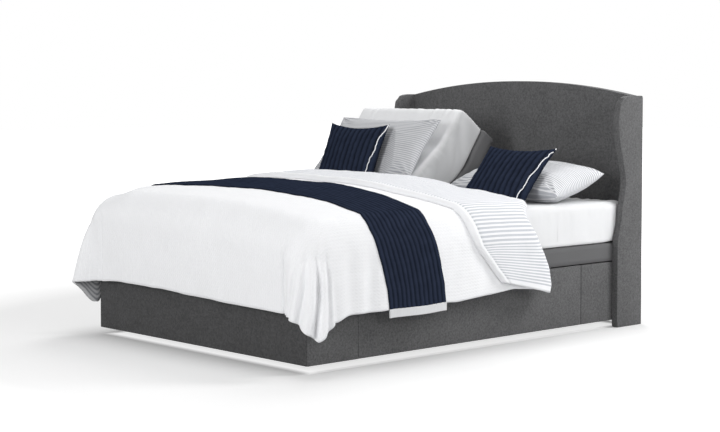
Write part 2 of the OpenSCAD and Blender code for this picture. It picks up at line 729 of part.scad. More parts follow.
// Pillows and cushions: crowned, drawn in along the sides, lying in XY round their middle
function swell(u, v) = pow(1 - pow(abs(u), 2.6), 0.5) * pow(1 - pow(abs(v), 2.6), 0.5);
function spread(k, n) = let (s = 2 * k / n - 1) sign(s) * (1 - pow(1 - abs(s), 1.35));
function crowned(w, h, t, nu, nv, grooves, depth, way) = [for (j = [0:nv]) let (v = -spread(j, nv))
    [for (i = [0:nu]) let (u = grooves > 0 ? 2 * i / nu - 1 : spread(i, nu),
            wave = grooves > 0 ? pow(abs(sin(90 * grooves * (u + 1))), 0.7) - 1 : 0,
            full = swell(u, v))
        [w / 2 * u * (1 - 0.055 * (1 - v * v)), h / 2 * v * (1 - 0.075 * (1 - u * u)),
            way * (3 + (t / 2 - 3) * full + depth * wave * min(1, 3 * full))]]];
// Both lie on a section of the mattress: x across it, s along it from its fold and n off it
function tipped(p, a) = [p[0], p[1] * cos(a) - p[2] * sin(a), p[1] * sin(a) + p[2] * cos(a)];
function laid(grid, x, s, tilt, rise) = [for (row = grid) [for (p = row) tipped(p, tilt) + [x, s, rise]]];
function lowest(grid, tilt) = min([for (row = grid, p = row) tipped(p, tilt)[2]]);
module on_mattress(side) {
    on_back(side) translate([0, back_y, mattress_top]) children();
}
function cushion_face(way) =
    crowned(cushion_w, cushion_h, cushion_t, channels * 3, 8, channels, channel_depth, way);
function cushion_x(side) = side < 0 ? -cushion_left_x : cushion_right_x;
function cushion_s(side) = side < 0 ? cushion_left_s : cushion_right_s;
function cushion_tilt(side) = side < 0 ? cushion_left_tilt : cushion_right_tilt;
function cushion_rise(side) = soft_gap - lowest(cushion_face(-1), cushion_tilt(side));
module cushion(side) {
    tilt = cushion_tilt(side);
    rise = cushion_rise(side);
    faces = [for (way = [1, -1]) laid(cushion_face(way), cushion_x(side), cushion_s(side), tilt, rise)];
    color(navy) on_mattress(side) sheet_solid(faces[0], faces[1]);
}
module cushion_left() { cushion(-1); }
module cushion_right() { cushion(1); }

// A pillow is pressed flat by the mattress under it and by the back of the cushion on it
spare_rise = 0.4;
least_t = 5;
function cushion_back(side, rise, p) = let (tilt = cushion_tilt(side))
    rise + (p[1] - cushion_s(side)) * tan(tilt) - (cushion_t / 2 + 2 * soft_gap) / cos(tilt)
        + spare_rise * max(0, abs(p[0] - cushion_x(side)) - cushion_w / 2);
module pillow(side) {
    t = side < 0 ? pillow_left_t : pillow_right_t;
    s = side < 0 ? pillow_left_s : pillow_right_s;
    tilt = side < 0 ? pillow_left_tilt : pillow_right_tilt;
    x = side * (split_gap + pillow_w) / 2;
    faces = [for (way = [1, -1]) crowned(pillow_w, pillow_h, t, 16, 12, 0, 0, way)];
    rise = soft_gap - pillow_sink - lowest(faces[1], tilt);
    under = cushion_rise(side);
    low = [for (row = laid(faces[1], x, s, tilt, rise)) [for (p = row) [p[0], p[1], max(p[2], soft_gap)]]];
    full = laid(faces[0], x, s, tilt, rise);
    top = [for (j = [0:len(full) - 1]) [for (i = [0:len(full[j]) - 1]) let (p = full[j][i])
        [p[0], p[1], max(min(p[2], cushion_back(side, under, p)), low[j][i][2] + least_t)]]];
    color(sheet_white) on_mattress(side) sheet_solid(top, low);
}
module pillow_left() { pillow(-1); }
module pillow_right() { pillow(1); }

// Duvet: it lies over the mattress, rounds over a shoulder and hangs, and at the foot
// corners its spare cloth falls into an ear between two folds. c counts the columns from
// the middle, j the rows from the head edge, and both go on down the hanging cloth.
function flat_share(c) = abs(c) < 1 ? c * 20 : sign(c);
function over(c) = abs(c) < 1 ? 0 : drops[abs(c)];
head_edge_run = 200;
function head_y(x) = x <= 0 ? duvet_head_raised_y
    : x > head_edge_run ? duvet_head_y : eased(duvet_head_raised_y, duvet_head_y, x / head_edge_run);
step_y = 20;
top_rows = 9;
runner_rows = [4, 5, 6, 7];
function rows(x) = [head_y(x), (head_y(x) + turn_back_y + step_y) / 2, turn_back_y + step_y,
    turn_back_y - step_y, runner_y + runner_w, runner_y + 0.66 * runner_w, runner_y + 0.33 * runner_w,
    runner_y, (runner_y + shoulder_y) / 2, shoulder_y];
function slant(share) = runner_slant + (runner_slant_raised - runner_slant) * (1 - share) / 2;
function row_y(c, j) = let (share = flat_share(c), hung = over(c) / hang_run)
    rows(share * shoulder_x)[min(j, top_rows)] + (j > 0 && j < 4 ? turn_back_slant * hung * min(1, j / 2)
        : j >= runner_rows[0] && j <= runner_rows[3] ? -slant(share) * (1 - hung) : 0);
function crown_z(x, y) = let (low = mattress_top + (x < 0 ? duvet_shoulder_raised : duvet_shoulder),
        top = mattress_top + duvet_crown - duvet_slope / 1000 * max(0, runner_y + runner_w - y))
    low + (top - low) * (1 - pow(abs(x) / shoulder_x, x < 0 ? 5 : 1.9));
function lifted(j) = j <= 2 ? turn_back_t : 0;
function reach(r) = r < shoulder_run ? duvet_out * sin(90 * r / shoulder_run) : duvet_out;
function hang_share(r) = max(0, (r - shoulder_run) / (hang_run - shoulder_run));
function ear_of(a) = pow(sin(2 * a), 2);
function valley_of(a) = pow(sin(4 * a), 2);
function flare(r, a) = ear_share(r) * (duvet_ear * ear_of(a) - duvet_valley * valley_of(a));
function hung_z(top, r, a) = r < shoulder_run ? top - shoulder_drop * (1 - cos(90 * r / shoulder_run))
    : top - shoulder_drop
        - (top - shoulder_drop - duvet_hem_z) * hang_share(r) * (1 - (1 - ear_shorten) * ear_of(a));
function duvet_point(c, j, off, soft) = let (
        x = flat_share(c) * shoulder_x, y = row_y(c, j), du = over(c),
        dv = j > top_rows ? drops[j - top_rows] : 0,
        r = norm([du, dv]), a = r == 0 ? 90 : atan2(dv, du),
        t = min(90, 90 * r / shoulder_run), add = off + soft * lifted(j),
        out = reach(r) + add * sin(t), ear = flare(r, a))
    [x + (du > 0 ? sign(c) : 0) * (out + ear) * cos(a),
        y - (dv > 0 ? (out + ear_forward * ear) * sin(a) : 0),
        hung_z(crown_z(x, y), r, a) + add * cos(t)];
// The lining: flat on the mattress, square over its edges, then hanging free
lining_in = [0, 53, 53, 66, 92, duvet_out - duvet_hem_t];
lining_foot = [0, 20, 20, 52, 86, duvet_out - duvet_hem_t];
lining_share = [0, 0, 0.45, 0.75];
lining_lift = 4;
function lining_point(c, j) = let (
        x = flat_share(c) * shoulder_x, y = row_y(c, j), du = over(c),
        dv = j > top_rows ? drops[j - top_rows] : 0,
        k = max(abs(c) < 1 ? 0 : abs(c), j > top_rows ? j - top_rows : 0), i = min(k, 5),
        a = du + dv == 0 ? 0 : atan2(dv, du), big = i < 3 ? max(cos(a), sin(a)) : 1,
        wave = flare(norm([du, dv]), a), bed_z = mattress_top + soft_gap,
        z = k < 4 ? bed_z - lining_share[k] * (bed_z - crown_z(x, y) + shoulder_drop - lining_lift)
            : duvet_point(c, j, 0, 0)[2] + (k == 4 ? lining_lift : 0))
    [x + (du > 0 ? sign(c) : 0) * (lining_in[i] / big + wave) * cos(a),
        y - (dv > 0 ? (lining_foot[i] / big + ear_forward * wave) * sin(a) : 0), z];
module duvet() {
    js = [0:top_rows + last];
    color(sheet_white) bed() sheet_solid([for (j = js) [for (c = across) duvet_point(c, j, 0, 1)]],
        [for (j = js) [for (c = across) lining_point(c, j)]]);
}
module runner() {
    lay = soft_gap + 0.1;
    tail = [0, 0, -runner_extra];
    function line(j, off) = let (row = [for (c = across) duvet_point(c, j, off, 0)])
        concat([row[0] + tail], row, [row[len(row) - 1] + tail]);
    color(navy) bed() sheet_solid([for (j = runner_rows) line(j, lay + runner_t)],
        [for (j = runner_rows) line(j, lay)]);
}

foot_panel();
foot_corner_panels();
side_panel_left();
side_panel_right();
head_corner_panels();
headboard_panel();
headboard_wing_left();
headboard_wing_right();
headboard_brackets();
headboard_bolts();
frame_rail_left();
frame_rail_right();
frame_cross_members();
support_legs();
leg_glides();
seat_blocks();
deck_buffers();
seat_deck();
back_deck_left();
back_deck_right();
neck_deck_left();
neck_deck_right();
thigh_deck();
calf_deck();
mattress_seat();
mattress_back_left();
mattress_back_right();
mattress_neck_left();
mattress_neck_right();
mattress_thigh();
mattress_calf();
seat_hinge_halves();
back_hinge_halves_left();
back_hinge_halves_right();
neck_hinge_halves_left();
neck_hinge_halves_right();
thigh_hinge_halves();
calf_hinge_halves();
seat_hinge_pins();
neck_hinge_pins_left();
neck_hinge_pins_right();
knee_hinge_pins();
actuator_brackets();
back_actuator_left();
back_rod_left();
back_actuator_right();
back_rod_right();
leg_actuator();
leg_rod();
back_lift_bracket_left();
back_lift_bracket_right();
thigh_lift_bracket();
control_box();
power_supply();
pillow_left();
pillow_right();
cushion_left();
cushion_right();
duvet();
runner();
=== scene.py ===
"""Adjustable bed with a winged headboard, split head sections and its bedding.

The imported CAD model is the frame. This file dresses it: upholstery, mattress, duvet,
runner, pillows and cushions, with procedural materials, a camera and a plain studio.
"""

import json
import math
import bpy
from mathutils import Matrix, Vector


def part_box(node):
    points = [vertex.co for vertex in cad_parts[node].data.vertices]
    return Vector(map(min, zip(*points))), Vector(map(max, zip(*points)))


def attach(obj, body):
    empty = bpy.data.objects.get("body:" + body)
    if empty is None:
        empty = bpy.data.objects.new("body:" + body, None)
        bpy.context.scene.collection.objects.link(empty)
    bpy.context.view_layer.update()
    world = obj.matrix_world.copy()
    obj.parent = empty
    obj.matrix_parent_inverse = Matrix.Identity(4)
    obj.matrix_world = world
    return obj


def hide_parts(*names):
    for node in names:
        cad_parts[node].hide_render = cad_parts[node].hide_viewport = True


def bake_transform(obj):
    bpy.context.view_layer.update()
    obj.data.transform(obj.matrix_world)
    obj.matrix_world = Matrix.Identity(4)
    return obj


bl_info = {
    "name": "Adjustable bed",
    "version": (1, 0, 0),
    "blender": (4, 5, 0),
    "location": "3D View > Sidebar > Bed",
    "description": "Dresses the adjustable bed and sets up its studio",
    "category": "Add Mesh",
}

import bpy
import numpy as np
from mathutils import Vector
from mathutils.kdtree import KDTree

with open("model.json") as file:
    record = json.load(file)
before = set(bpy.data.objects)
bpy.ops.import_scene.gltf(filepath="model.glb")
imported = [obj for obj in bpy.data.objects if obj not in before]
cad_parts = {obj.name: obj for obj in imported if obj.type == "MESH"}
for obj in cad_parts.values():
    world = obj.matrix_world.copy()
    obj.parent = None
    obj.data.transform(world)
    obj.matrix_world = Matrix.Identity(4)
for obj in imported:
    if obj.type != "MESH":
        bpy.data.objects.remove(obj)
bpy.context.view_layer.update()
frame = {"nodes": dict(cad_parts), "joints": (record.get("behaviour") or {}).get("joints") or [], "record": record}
NODES = frame["nodes"]
JOINTS = {joint["name"]: joint for joint in frame["joints"]}

# Places that the CAD model gives, with y counted from the foot face of the base
FOOT_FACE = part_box("foot_panel")[0].y
DECK_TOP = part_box("seat_deck")[1].z
DECK_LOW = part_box("seat_deck")[0].z
MATTRESS_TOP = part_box("mattress_seat")[1].z
HALF_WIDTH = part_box("seat_deck")[1].x
MATTRESS_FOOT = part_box("mattress_calf")[0].y - FOOT_FACE
BED_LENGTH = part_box("mattress_neck_right")[1].y - FOOT_FACE
FOLD_Z = JOINTS["back_right_lift"]["pos_m"][2]
BACK_FOLD = JOINTS["back_right_lift"]["pos_m"][1] - FOOT_FACE
NECK_FOLD = JOINTS["neck_right_tilt"]["pos_m"][1] - FOOT_FACE
BACK_RAISED = math.radians(-JOINTS["back_left_lift"]["range_deg"][0])
NECK_RAISED = math.radians(-JOINTS["neck_left_tilt"]["range_deg"][0])
SPLIT = 0.001
SIDES = ((-1, "left"), (1, "right"))

# Where each fold's bend starts and ends in cloth and foam, and where long pieces are cut
KNEE_ZONE = (0.55, 0.77)
THIGH_ZONE = (0.89, 1.13)
BACK_ZONE = (1.13, 1.41)
NECK_ZONE = (1.68, 1.92)
DECK_NECK_ZONE = (NECK_FOLD - 0.01, NECK_FOLD + 0.13)
LEG_CUT = 0.83
SEAT_CUT = 1.13
BACK_CUT = 1.55

# How far soft pieces that touch lie apart, how far edges are rounded, the angles from which an
# edge of a panel is rounded or sharp and up to which it is taken away, and the steps of the
# mattress's rows, closer together at its ends
CLEARANCE = 0.0005
MATTRESS_EDGE = 0.034
MATTRESS_LOW_EDGE = 0.012
DECK_EDGE = 0.006
DECK_COVER_EDGE = 0.004
ROUNDED_FROM = math.radians(35)
SHARP_FROM = math.radians(30)
LEVEL_TO = math.radians(0.5)
SHEET_STEP = 0.011
END_STEPS = np.array([0.002, 0.005, 0.009, 0.015, 0.022, 0.030])

# The duvet's fall, as in the CAD model: its shoulders, how far it drops and runs on in its
# rounded part, how far it hangs in all, and where its head edge lies. Then the step of its
# rows, how far it ends inside its turned edge, and where the foot creases at its corners
SHOULDER_X = HALF_WIDTH - 0.05
SHOULDER_Y = MATTRESS_FOOT + 0.016
DROP = 0.165
RUN = 0.232
HANG = 0.467
HEAD_EDGE = 1.430
DUVET_STEP = 0.0125
INSIDE_TURN = 0.018
CREASE_X = 0.662

# The turned-back part: where its side hem starts to fall, how high it hangs there and at the
# head edge, and the width of its plain border
TURN_START = 1.08
TURN_HEMS = (0.293, 0.216)
HEM_BORDER = 0.036

# The runner: its thickness, that of the bands at its ends and of their ribs, the distance
# between ribs, how far down the fall the runner reaches, and where its bands start and end
RUNNER_THICK = 0.0034
BAND_THICK = 0.0068
RIB_DEPTH = 0.0016
RIB_PITCH = 0.0085
RUNNER_REACH = HANG + 0.002
BAND_REACH = (HANG - 0.003, HANG + 0.033)

# The hanging folds of the near foot corner: angle from the side and width in degrees, and depth
EAR_FOLDS = ((37, 4.5, 0.044), (58, 5.0, 0.034), (76, 4.0, 0.016), (16, 6.0, 0.026))

# Thread of the weave, ribs and cells of the waffle, and the span over the rounded edge of the raised
# half, from its flat top to its upright side, across which painted shade comes in at the split
THREAD = 0.0024
WAFFLE = (0.0145, 0.018)
PAINTED_SHADE_SPAN = (-0.036, -0.004)

# Sizes of the cushions and pillows as width, height and thickness, how far their sides draw in,
# how squarely they are filled out, and where they lie: x across the bed, s along the back section
# from its fold, and their tilt in degrees. Then how deep a cushion's channels are, how far soft
# forms stay off their section, and how deep a pillow lies in it
CUSHION = (0.436, 0.352, 0.076)
CUSHION_DRAWN = (0.06, 0.15)
CUSHION_FILLED = 2.6
CUSHIONS = {-1: dict(x=-0.444, s=0.288, tilt=29), 1: dict(x=0.400, s=0.300, tilt=47)}
CHANNEL_DEPTH = 0.006
LEAST_RISE = 0.0006
CUSHION_RISE = 0.0008
SUNK = 0.0175
PIPING_RADIUS = 0.0026
PILLOW = (0.728, 0.360)
PILLOW_DRAWN = (0.055, 0.10)
PILLOW_PITCH = 0.012
PILLOWS = {-1: dict(s=0.396, tilt=14, thick=0.130, filled=2.8),
           1: dict(s=0.464, tilt=15, thick=0.182, filled=3.4)}

# How far two points of a cut may lie apart, the step of a welt's points, and a place near the
# middle of a wing, counted from its back edge
SAME_PLACE = 0.00005
WELT_STEP = 0.012
WING_MIDDLE = (-0.04, 0.6)

# Camera, floor and light: AMBIENT is the background's light on the bed, the camera sees it white.
# A lamp has its name, its place, the point it is aimed at, its side length and its power
VIEWPOINT = (5.7501, -5.3254, 1.1811)
TURNED_LEFT = 0.8257
TIPPED_DOWN = math.radians(3.0)
LENS = 81.91
SENSOR = 36
SHIFT = (-6.4 / 720, -46.9 / 720)
FLOOR = (0.70, 0.70, 0.70, 1)
AMBIENT = 0.41
LAMPS = (
    ("key", (6.5, -0.6, 2.4), (0, 0.2, 0.5), 2.0, 92),
    ("front_fill", (0.8, -7.0, 2.2), (0, 0, 0.5), 2.5, 192),
    ("rear_overhead", (-2.0, 2.6, 5.0), (0, 0, 0.2), 2.4, 116),
    ("overhead", (0.2, -1.2, 5.5), (0, 0, 0.4), 2.0, 34),
    ("head_side", (2.6, 2.2, 2.5), (0.8, 0.8, 0.8), 1.2, 74),
)


class BedSizes(bpy.types.PropertyGroup):
    """Sizes of the bedding and of the upholstery's edges."""

    edge_radius: bpy.props.FloatProperty(
        name="Upholstery edge", description="Radius of the padded edges of the base and the headboard",
        default=0.005, min=0.001, max=0.012, unit="LENGTH")
    welt_radius: bpy.props.FloatProperty(
        name="Welt", description="Radius of the welt round the faces of the wings",
        default=0.0028, min=0.001, max=0.006, unit="LENGTH")
    sheet_folds: bpy.props.FloatProperty(
        name="Sheet folds", description="Depth of the folds in the fitted sheet",
        default=0.0075, min=0.0, max=0.012, unit="LENGTH")
    duvet_crown: bpy.props.FloatProperty(
        name="Duvet crown", description="Height of the duvet's crown above the mattress",
        default=0.113, min=0.06, max=0.15, unit="LENGTH")
    duvet_out: bpy.props.FloatProperty(
        name="Duvet fall", description="How far the duvet stands out past its shoulder",
        default=0.128, min=0.12, max=0.14, unit="LENGTH")
    duvet_ear: bpy.props.FloatProperty(
        name="Duvet ears", description="How far the spare cloth at the foot corners stands out",
        default=0.064, min=0.02, max=0.08, unit="LENGTH")
    turn_back: bpy.props.FloatProperty(
        name="Turn-back", description="Thickness of the turned-back part of the duvet",
        default=0.026, min=0.01, max=0.03, unit="LENGTH")
    runner_width: bpy.props.FloatProperty(
        name="Runner width", description="Width of the runner",
        default=0.345, min=0.25, max=0.4, unit="LENGTH")
    runner_channels: bpy.props.IntProperty(
        name="Runner channels", description="Number of channels sewn along the runner",
        default=13, min=4, max=20)
    cushion_channels: bpy.props.IntProperty(
        name="Cushion channels", description="Number of channels sewn across a cushion",
        default=12, min=8, max=14)
    stripe_pitch: bpy.props.FloatProperty(
        name="Stripe pitch", description="Distance between the stripes of the turn-back",
        default=0.0155, min=0.004, max=0.03, unit="LENGTH")


class BedColours(bpy.types.PropertyGroup):
    """Colours of the bed's finishes."""

    weave: bpy.props.FloatVectorProperty(
        name="Weave", description="Colour of the upholstery", subtype="COLOR",
        size=3, min=0, max=1, default=(0.101, 0.101, 0.103))
    deck: bpy.props.FloatVectorProperty(
        name="Deck cover", description="Colour of the covers of the deck sections", subtype="COLOR",
        size=3, min=0, max=1, default=(0.107, 0.107, 0.110))
    sheet: bpy.props.FloatVectorProperty(
        name="Sheet", description="Colour of the fitted sheet", subtype="COLOR",
        size=3, min=0, max=1, default=(0.70, 0.705, 0.715))
    cotton: bpy.props.FloatVectorProperty(
        name="Duvet", description="Colour of the duvet", subtype="COLOR",
        size=3, min=0, max=1, default=(0.82, 0.825, 0.84))
    stripe: bpy.props.FloatVectorProperty(
        name="Stripe", description="Colour of the stripes", subtype="COLOR",
        size=3, min=0, max=1, default=(0.47, 0.485, 0.525))
    navy: bpy.props.FloatVectorProperty(
        name="Navy", description="Colour of the runner and the cushions", subtype="COLOR",
        size=3, min=0, max=1, default=(0.0175, 0.0230, 0.0400))


# Small tools


def smooth(t):
    """An ease from 0 to 1."""
    t = np.clip(t, 0, 1)
    return t * t * (3 - 2 * t)


def quarter(t):
    """A quarter of a circle: 0 at 0, 1 from 1 on."""
    return np.sqrt(np.clip(1 - (1 - np.clip(t, 0, 1)) ** 2, 0, 1))


def lumps(u, v, size_u, size_v, seed):
    """Soft lumps between -1 and 1, about size_u by size_v large. Each use has a seed of its own."""
    table = np.random.RandomState(seed).uniform(-1, 1, (97, 97))
    a, b = np.broadcast_arrays(np.asarray(u, float) / size_u, np.asarray(v, float) / size_v)
    i, j = np.floor(a).astype(int), np.floor(b).astype(int)
    fa, fb = smooth(a - i), smooth(b - j)
    low = table[i % 97, j % 97] * (1 - fa) + table[(i + 1) % 97, j % 97] * fa
    high = table[i % 97, (j + 1) % 97] * (1 - fa) + table[(i + 1) % 97, (j + 1) % 97] * fa
    return low * (1 - fb) + high * fb


def creases(u, v, size_u, size_v, seed):
    """Narrow ridges between 0 and 1 with wide valleys, as in crumpled cloth."""
    return (1 - np.abs(lumps(u, v, size_u, size_v, seed))) ** 3


def bell(t):
    """1 at 0, falling to nothing on both sides."""
    return np.exp(-t ** 2)


def turned(points, axis_y, axis_z, angle):
    """Points turned about an axis along x by an angle, or by one angle for each point."""
    y, z = points[..., 1] - axis_y, points[..., 2] - axis_z
    c, s = np.cos(angle), np.sin(angle)
    return np.stack([points[..., 0], axis_y + y * c - z * s, axis_z + y * s + z * c], -1)


def zone_share(y, zone):
    """How far a place is through a fold's bend."""
    return smooth((y - zone[0]) / (zone[1] - zone[0]))


def raised(points, side):
    """The left half's sections as they are stored, bent softly at the neck and the back."""
    if side >= 0:
        return points
    y = points[..., 1]
    points = turned(points, NECK_FOLD, FOLD_Z, NECK_RAISED * zone_share(y, NECK_ZONE))
    return turned(points, BACK_FOLD, FOLD_Z, BACK_RAISED * zone_share(y, BACK_ZONE))


def raised_stiff(points, side):
    """The same for what lies on the back section alone."""
    return points if side >= 0 else turned(points, BACK_FOLD, FOLD_Z, BACK_RAISED)


def walked(line):
    """How far along a line each of its points lies."""
    return np.concatenate([[0], np.cumsum(np.linalg.norm(np.diff(line, axis=0), axis=1))])


def unit(vectors):
    """Vectors of length 1."""
    return vectors / np.maximum(np.linalg.norm(vectors, axis=-1, keepdims=True), 1e-9)


def alone(piece):
    """Selects a piece and nothing else."""
    bpy.ops.object.select_all(action="DESELECT")
    piece.select_set(True)
    bpy.context.view_layer.objects.active = piece


def tube(name, rings, uv=None, cuts=(False, False), finishes=()):
    """A closed mesh through rings of points, counted in y from the foot face.

    A ring runs over the top from left to right and back underneath. Where cuts says so, the
    first or last ring only lends its slope, so that two pieces meet there without a seam.
    Where there are two finishes, the second lies on the underneath.
    """
    rings = np.array(rings, float)
    ahead = np.roll(rings, -1, 1) - np.roll(rings, 1, 1)
    slope = np.gradient(rings, axis=0)
    normals = unit(np.cross(slope, ahead))
    uv = np.zeros(rings.shape[:2] + (2,)) if uv is None else np.array(uv, float)
    first, last = (1 if cuts[0] else 0), (-1 if cuts[1] else None)
    rings, normals, uv = rings[first:last], normals[first:last], uv[first:last]
    keep = np.zeros(rings.shape[:2], bool)
    keep[0], keep[-1] = cuts
    middle = [(rings[k] + rings[k][::-1]) / 2 for k in (0, -1)]
    rings = np.concatenate([middle[:1], rings, middle[1:]])
    uv = np.concatenate([uv[:1], uv, uv[-1:]])
    rows, columns = rings.shape[:2]
    rings = np.concatenate([rings, rings[:, :1]], 1)
    uv = np.concatenate([uv, uv[:, :1]], 1)
    rings[..., 1] += FOOT_FACE

    bpy.ops.object.select_all(action="DESELECT")
    bpy.ops.mesh.primitive_grid_add(x_subdivisions=columns, y_subdivisions=rows - 1, size=2)
    piece = bpy.context.object
    piece.name = piece.data.name = name
    mesh = piece.data
    place = np.zeros(len(mesh.vertices) * 3, np.float32)
    mesh.vertices.foreach_get("co", place)
    place = place.reshape(-1, 3)
    column = np.rint((place[:, 0] + 1) / 2 * columns).astype(int)
    row = np.rint((place[:, 1] + 1) / 2 * (rows - 1)).astype(int)
    mesh.vertices.foreach_set("co", rings[row, column].astype(np.float32).ravel())
    corner = np.zeros(len(mesh.loops), np.int32)
    mesh.loops.foreach_get("vertex_index", corner)
    mesh.uv_layers.active.data.foreach_set("uv", uv[row, column][corner].astype(np.float32).ravel())
    for finish in finishes:
        mesh.materials.append(finish)
    if len(finishes) > 1:
        start = np.zeros(len(mesh.polygons), np.int32)
        mesh.polygons.foreach_get("loop_start", start)
        first = column[corner[start[:, None] + np.arange(4)]].min(1)
        mesh.polygons.foreach_set("material_index", (first >= columns // 2).astype(np.int32))
    mesh.update()

    bpy.ops.object.mode_set(mode="EDIT")
    bpy.ops.mesh.select_all(action="SELECT")
    bpy.ops.mesh.remove_doubles(threshold=0.00002)
    bpy.ops.mesh.normals_make_consistent(inside=False)
    bpy.ops.object.mode_set(mode="OBJECT")
    bpy.ops.object.shade_smooth()
    if keep.any():
        meet_smoothly(mesh, rings[1:-1, :-1][keep], normals[keep])
    return piece


def shell(name, outer, inner, uv, cuts=(False, False), finishes=()):
    """A piece between an outer and an inner face, with the same places on the cloth for both."""
    rings, places = (np.concatenate([one, other[:, ::-1]], 1) for one, other in ((outer, inner), (uv, uv)))
    return tube(name, rings, places, cuts, finishes)


def meet_smoothly(mesh, places, normals):
    """Gives the vertices at a cut the normals of the whole cloth."""
    tree = KDTree(len(places))
    for number, place in enumerate(places):
        tree.insert(place, number)
    tree.balance()
    chosen = []
    for vertex in mesh.vertices:
        _, number, distance = tree.find(vertex.co)
        normal = Vector(normals[number] if distance < SAME_PLACE else (0, 0, 0))
        chosen.append(normal if normal.dot(vertex.normal) > 0 else -normal)
    mesh.normals_split_custom_set_from_vertices(chosen)


def follow(piece, zone, side=1):
    """Works out where a joint's bend starts and ends, which nothing uses further, and bakes the piece's placing
    into its mesh.
    """
    ends = raised(np.array([[0, zone[0], FOLD_Z], [0, zone[1], FOLD_Z]], float), side)
    ends[:, 1] += FOOT_FACE
    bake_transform(piece)


# Finishes


def add(tree, kind, **values):
    """A node with its settings and its inputs, which may be values or other sockets."""
    node = tree.nodes.new(kind)
    for name, value in values.items():
        if hasattr(node, name):
            setattr(node, name, value)
            continue
        socket = node.inputs[int(name[1:])] if name[0] == "i" and name[1:].isdigit() else node.inputs[name]
        if isinstance(value, bpy.types.NodeSocket):
            tree.links.new(value, socket)
        else:
            socket.default_value = value
    return node


def coordinate(tree, kind):
    """A point's place on its object, or on its cloth for UV."""
    return add(tree, "ShaderNodeTexCoord").outputs[kind]


def shader(name):
    """A new material, its node tree, its shader and the place that its patterns read."""
    finish = bpy.data.materials.new(name)
    finish.use_nodes = True
    tree = finish.node_tree
    return finish, tree, tree.nodes["Principled BSDF"], coordinate(tree, "Object")


def maths(tree, what, *values):
    """The result of one sum on numbers or sockets."""
    inputs = {f"i{number}": value for number, value in enumerate(values)}
    return add(tree, "ShaderNodeMath", operation=what, **inputs).outputs[0]


def scaled(tree, value, factor, base=0.0):
    """A value times a factor, on top of a base."""
    return maths(tree, "MULTIPLY_ADD", value, factor, base)


def varied(tree, value, amount, base):
    """A base that a pattern varies up and down, the pattern's middle being a half."""
    return scaled(tree, maths(tree, "SUBTRACT", value, 0.5), amount, base)


def mixed(tree, share, one, two):
    """A colour between two colours."""
    return add(tree, "ShaderNodeMix", data_type="RGBA", i0=share, i6=one, i7=two).outputs[2]


def noise(tree, place, scale, detail=2.0, rough=0.5):
    """Soft random patches, smaller as the scale grows."""
    node = add(tree, "ShaderNodeTexNoise", Vector=place, Scale=scale, Detail=detail, Roughness=rough)
    return node.outputs["Fac"]


def ramp(tree, value, start, end, kind="LINEAR"):
    """0 where a value is at its start or before it, 1 at its end or past it."""
    return add(tree, "ShaderNodeMapRange", interpolation_type=kind, i0=value, i1=start, i2=end).outputs[0]


def axes(tree, place):
    """The three parts of a place."""
    return add(tree, "ShaderNodeSeparateXYZ", Vector=place).outputs[:]


def cloth_axes(tree):
    """The two parts of a place on the cloth itself, and a third that is 0."""
    return axes(tree, coordinate(tree, "UV"))


def wave(tree, value, pitch):
    """A sine between -1 and 1 that repeats each pitch."""
    return maths(tree, "SINE", scaled(tree, value, 2 * math.pi / pitch))


def shade(colour, factor=1.0):
    """A colour made darker or paler, with the fourth part that a socket takes."""
    return (*(min(1.0, part * factor) for part in colour[:3]), 1.0)


def paint(tree, body, share, colour, dark, pale):
    """Lets a finish vary between two shades of its colour."""
    tree.links.new(mixed(tree, share, shade(colour, dark), shade(colour, pale)), body.inputs["Base Color"])


def raise_surface(tree, body, height, distance, strength):
    """Lets a pattern stand out of the surface."""
    bump = add(tree, "ShaderNodeBump", Height=height, Distance=distance, Strength=strength)
    tree.links.new(bump.outputs["Normal"], body.inputs["Normal"])


def feel(body, roughness, specular, sheen=0.0):
    """How rough a surface is, how much it shines and how far its fibres catch the light."""
    body.inputs["Roughness"].default_value = roughness
    body.inputs["Specular IOR Level"].default_value = specular
    body.inputs["Sheen Weight"].default_value = sheen


def woven_wool(tree, body, place, colour):
    """A dry wool-like weave: crossed threads, pale flecks and slubs, and broad cloudy shading."""
    x, y, z = axes(tree, place)
    slanting = wave(tree, maths(tree, "ADD", x, y), THREAD)
    crossed = maths(tree, "MULTIPLY", slanting, wave(tree, z, 1.15 * THREAD))
    fleck = noise(tree, place, 380.0, 3.0, 0.62)
    slub = noise(tree, place, 115.0, 2.0, 0.6)
    cloud = noise(tree, place, 9.0)
    tone = varied(tree, slub, 1.52, varied(tree, fleck, 0.95, 0.5))
    tone = scaled(tree, crossed, 0.07, varied(tree, cloud, 0.35, tone))
    paint(tree, body, tone, colour, 0.62, 1.42)
    raise_surface(tree, body, scaled(tree, crossed, 0.35, fleck), 0.0007, 0.65)
    feel(body, 0.94, 0.12, sheen=0.08)


def plain_cover(tree, body, place, colour):
    """The smoother grey cover of the deck sections."""
    fine = noise(tree, place, 700.0)
    tone = varied(tree, noise(tree, place, 6.0), 0.30, varied(tree, fine, 0.30, 0.5))
    paint(tree, body, tone, colour, 0.8, 1.2)
    raise_surface(tree, body, fine, 0.0003, 0.5)
    feel(body, 0.86, 0.3)


def cotton(tree, body, place, colour, crumple, painted_split_shade=1.0):
    """Plain white cotton with a fine weave and slight creases, with painted shade down its upright side at the
    split if asked.
    """
    fine = noise(tree, place, 420.0)
    soft = noise(tree, place, 16.0, 3.0, 0.55)
    tinted = mixed(tree, varied(tree, soft, 0.5, 0.6), shade(colour, 0.95), shade(colour, 1.02))
    if painted_split_shade < 1:
        # Painted shade on the raised half's upright side at the split, coming in over its rounded edge
        upright = ramp(tree, axes(tree, place)[0], *PAINTED_SHADE_SPAN, "SMOOTHSTEP")
        tinted = mixed(tree, upright, tinted, shade(colour, painted_split_shade))
    tree.links.new(tinted, body.inputs["Base Color"])
    raise_surface(tree, body, scaled(tree, soft, crumple, scaled(tree, fine, 0.12)), 0.003, 0.5)
    feel(body, 0.88, 0.25)


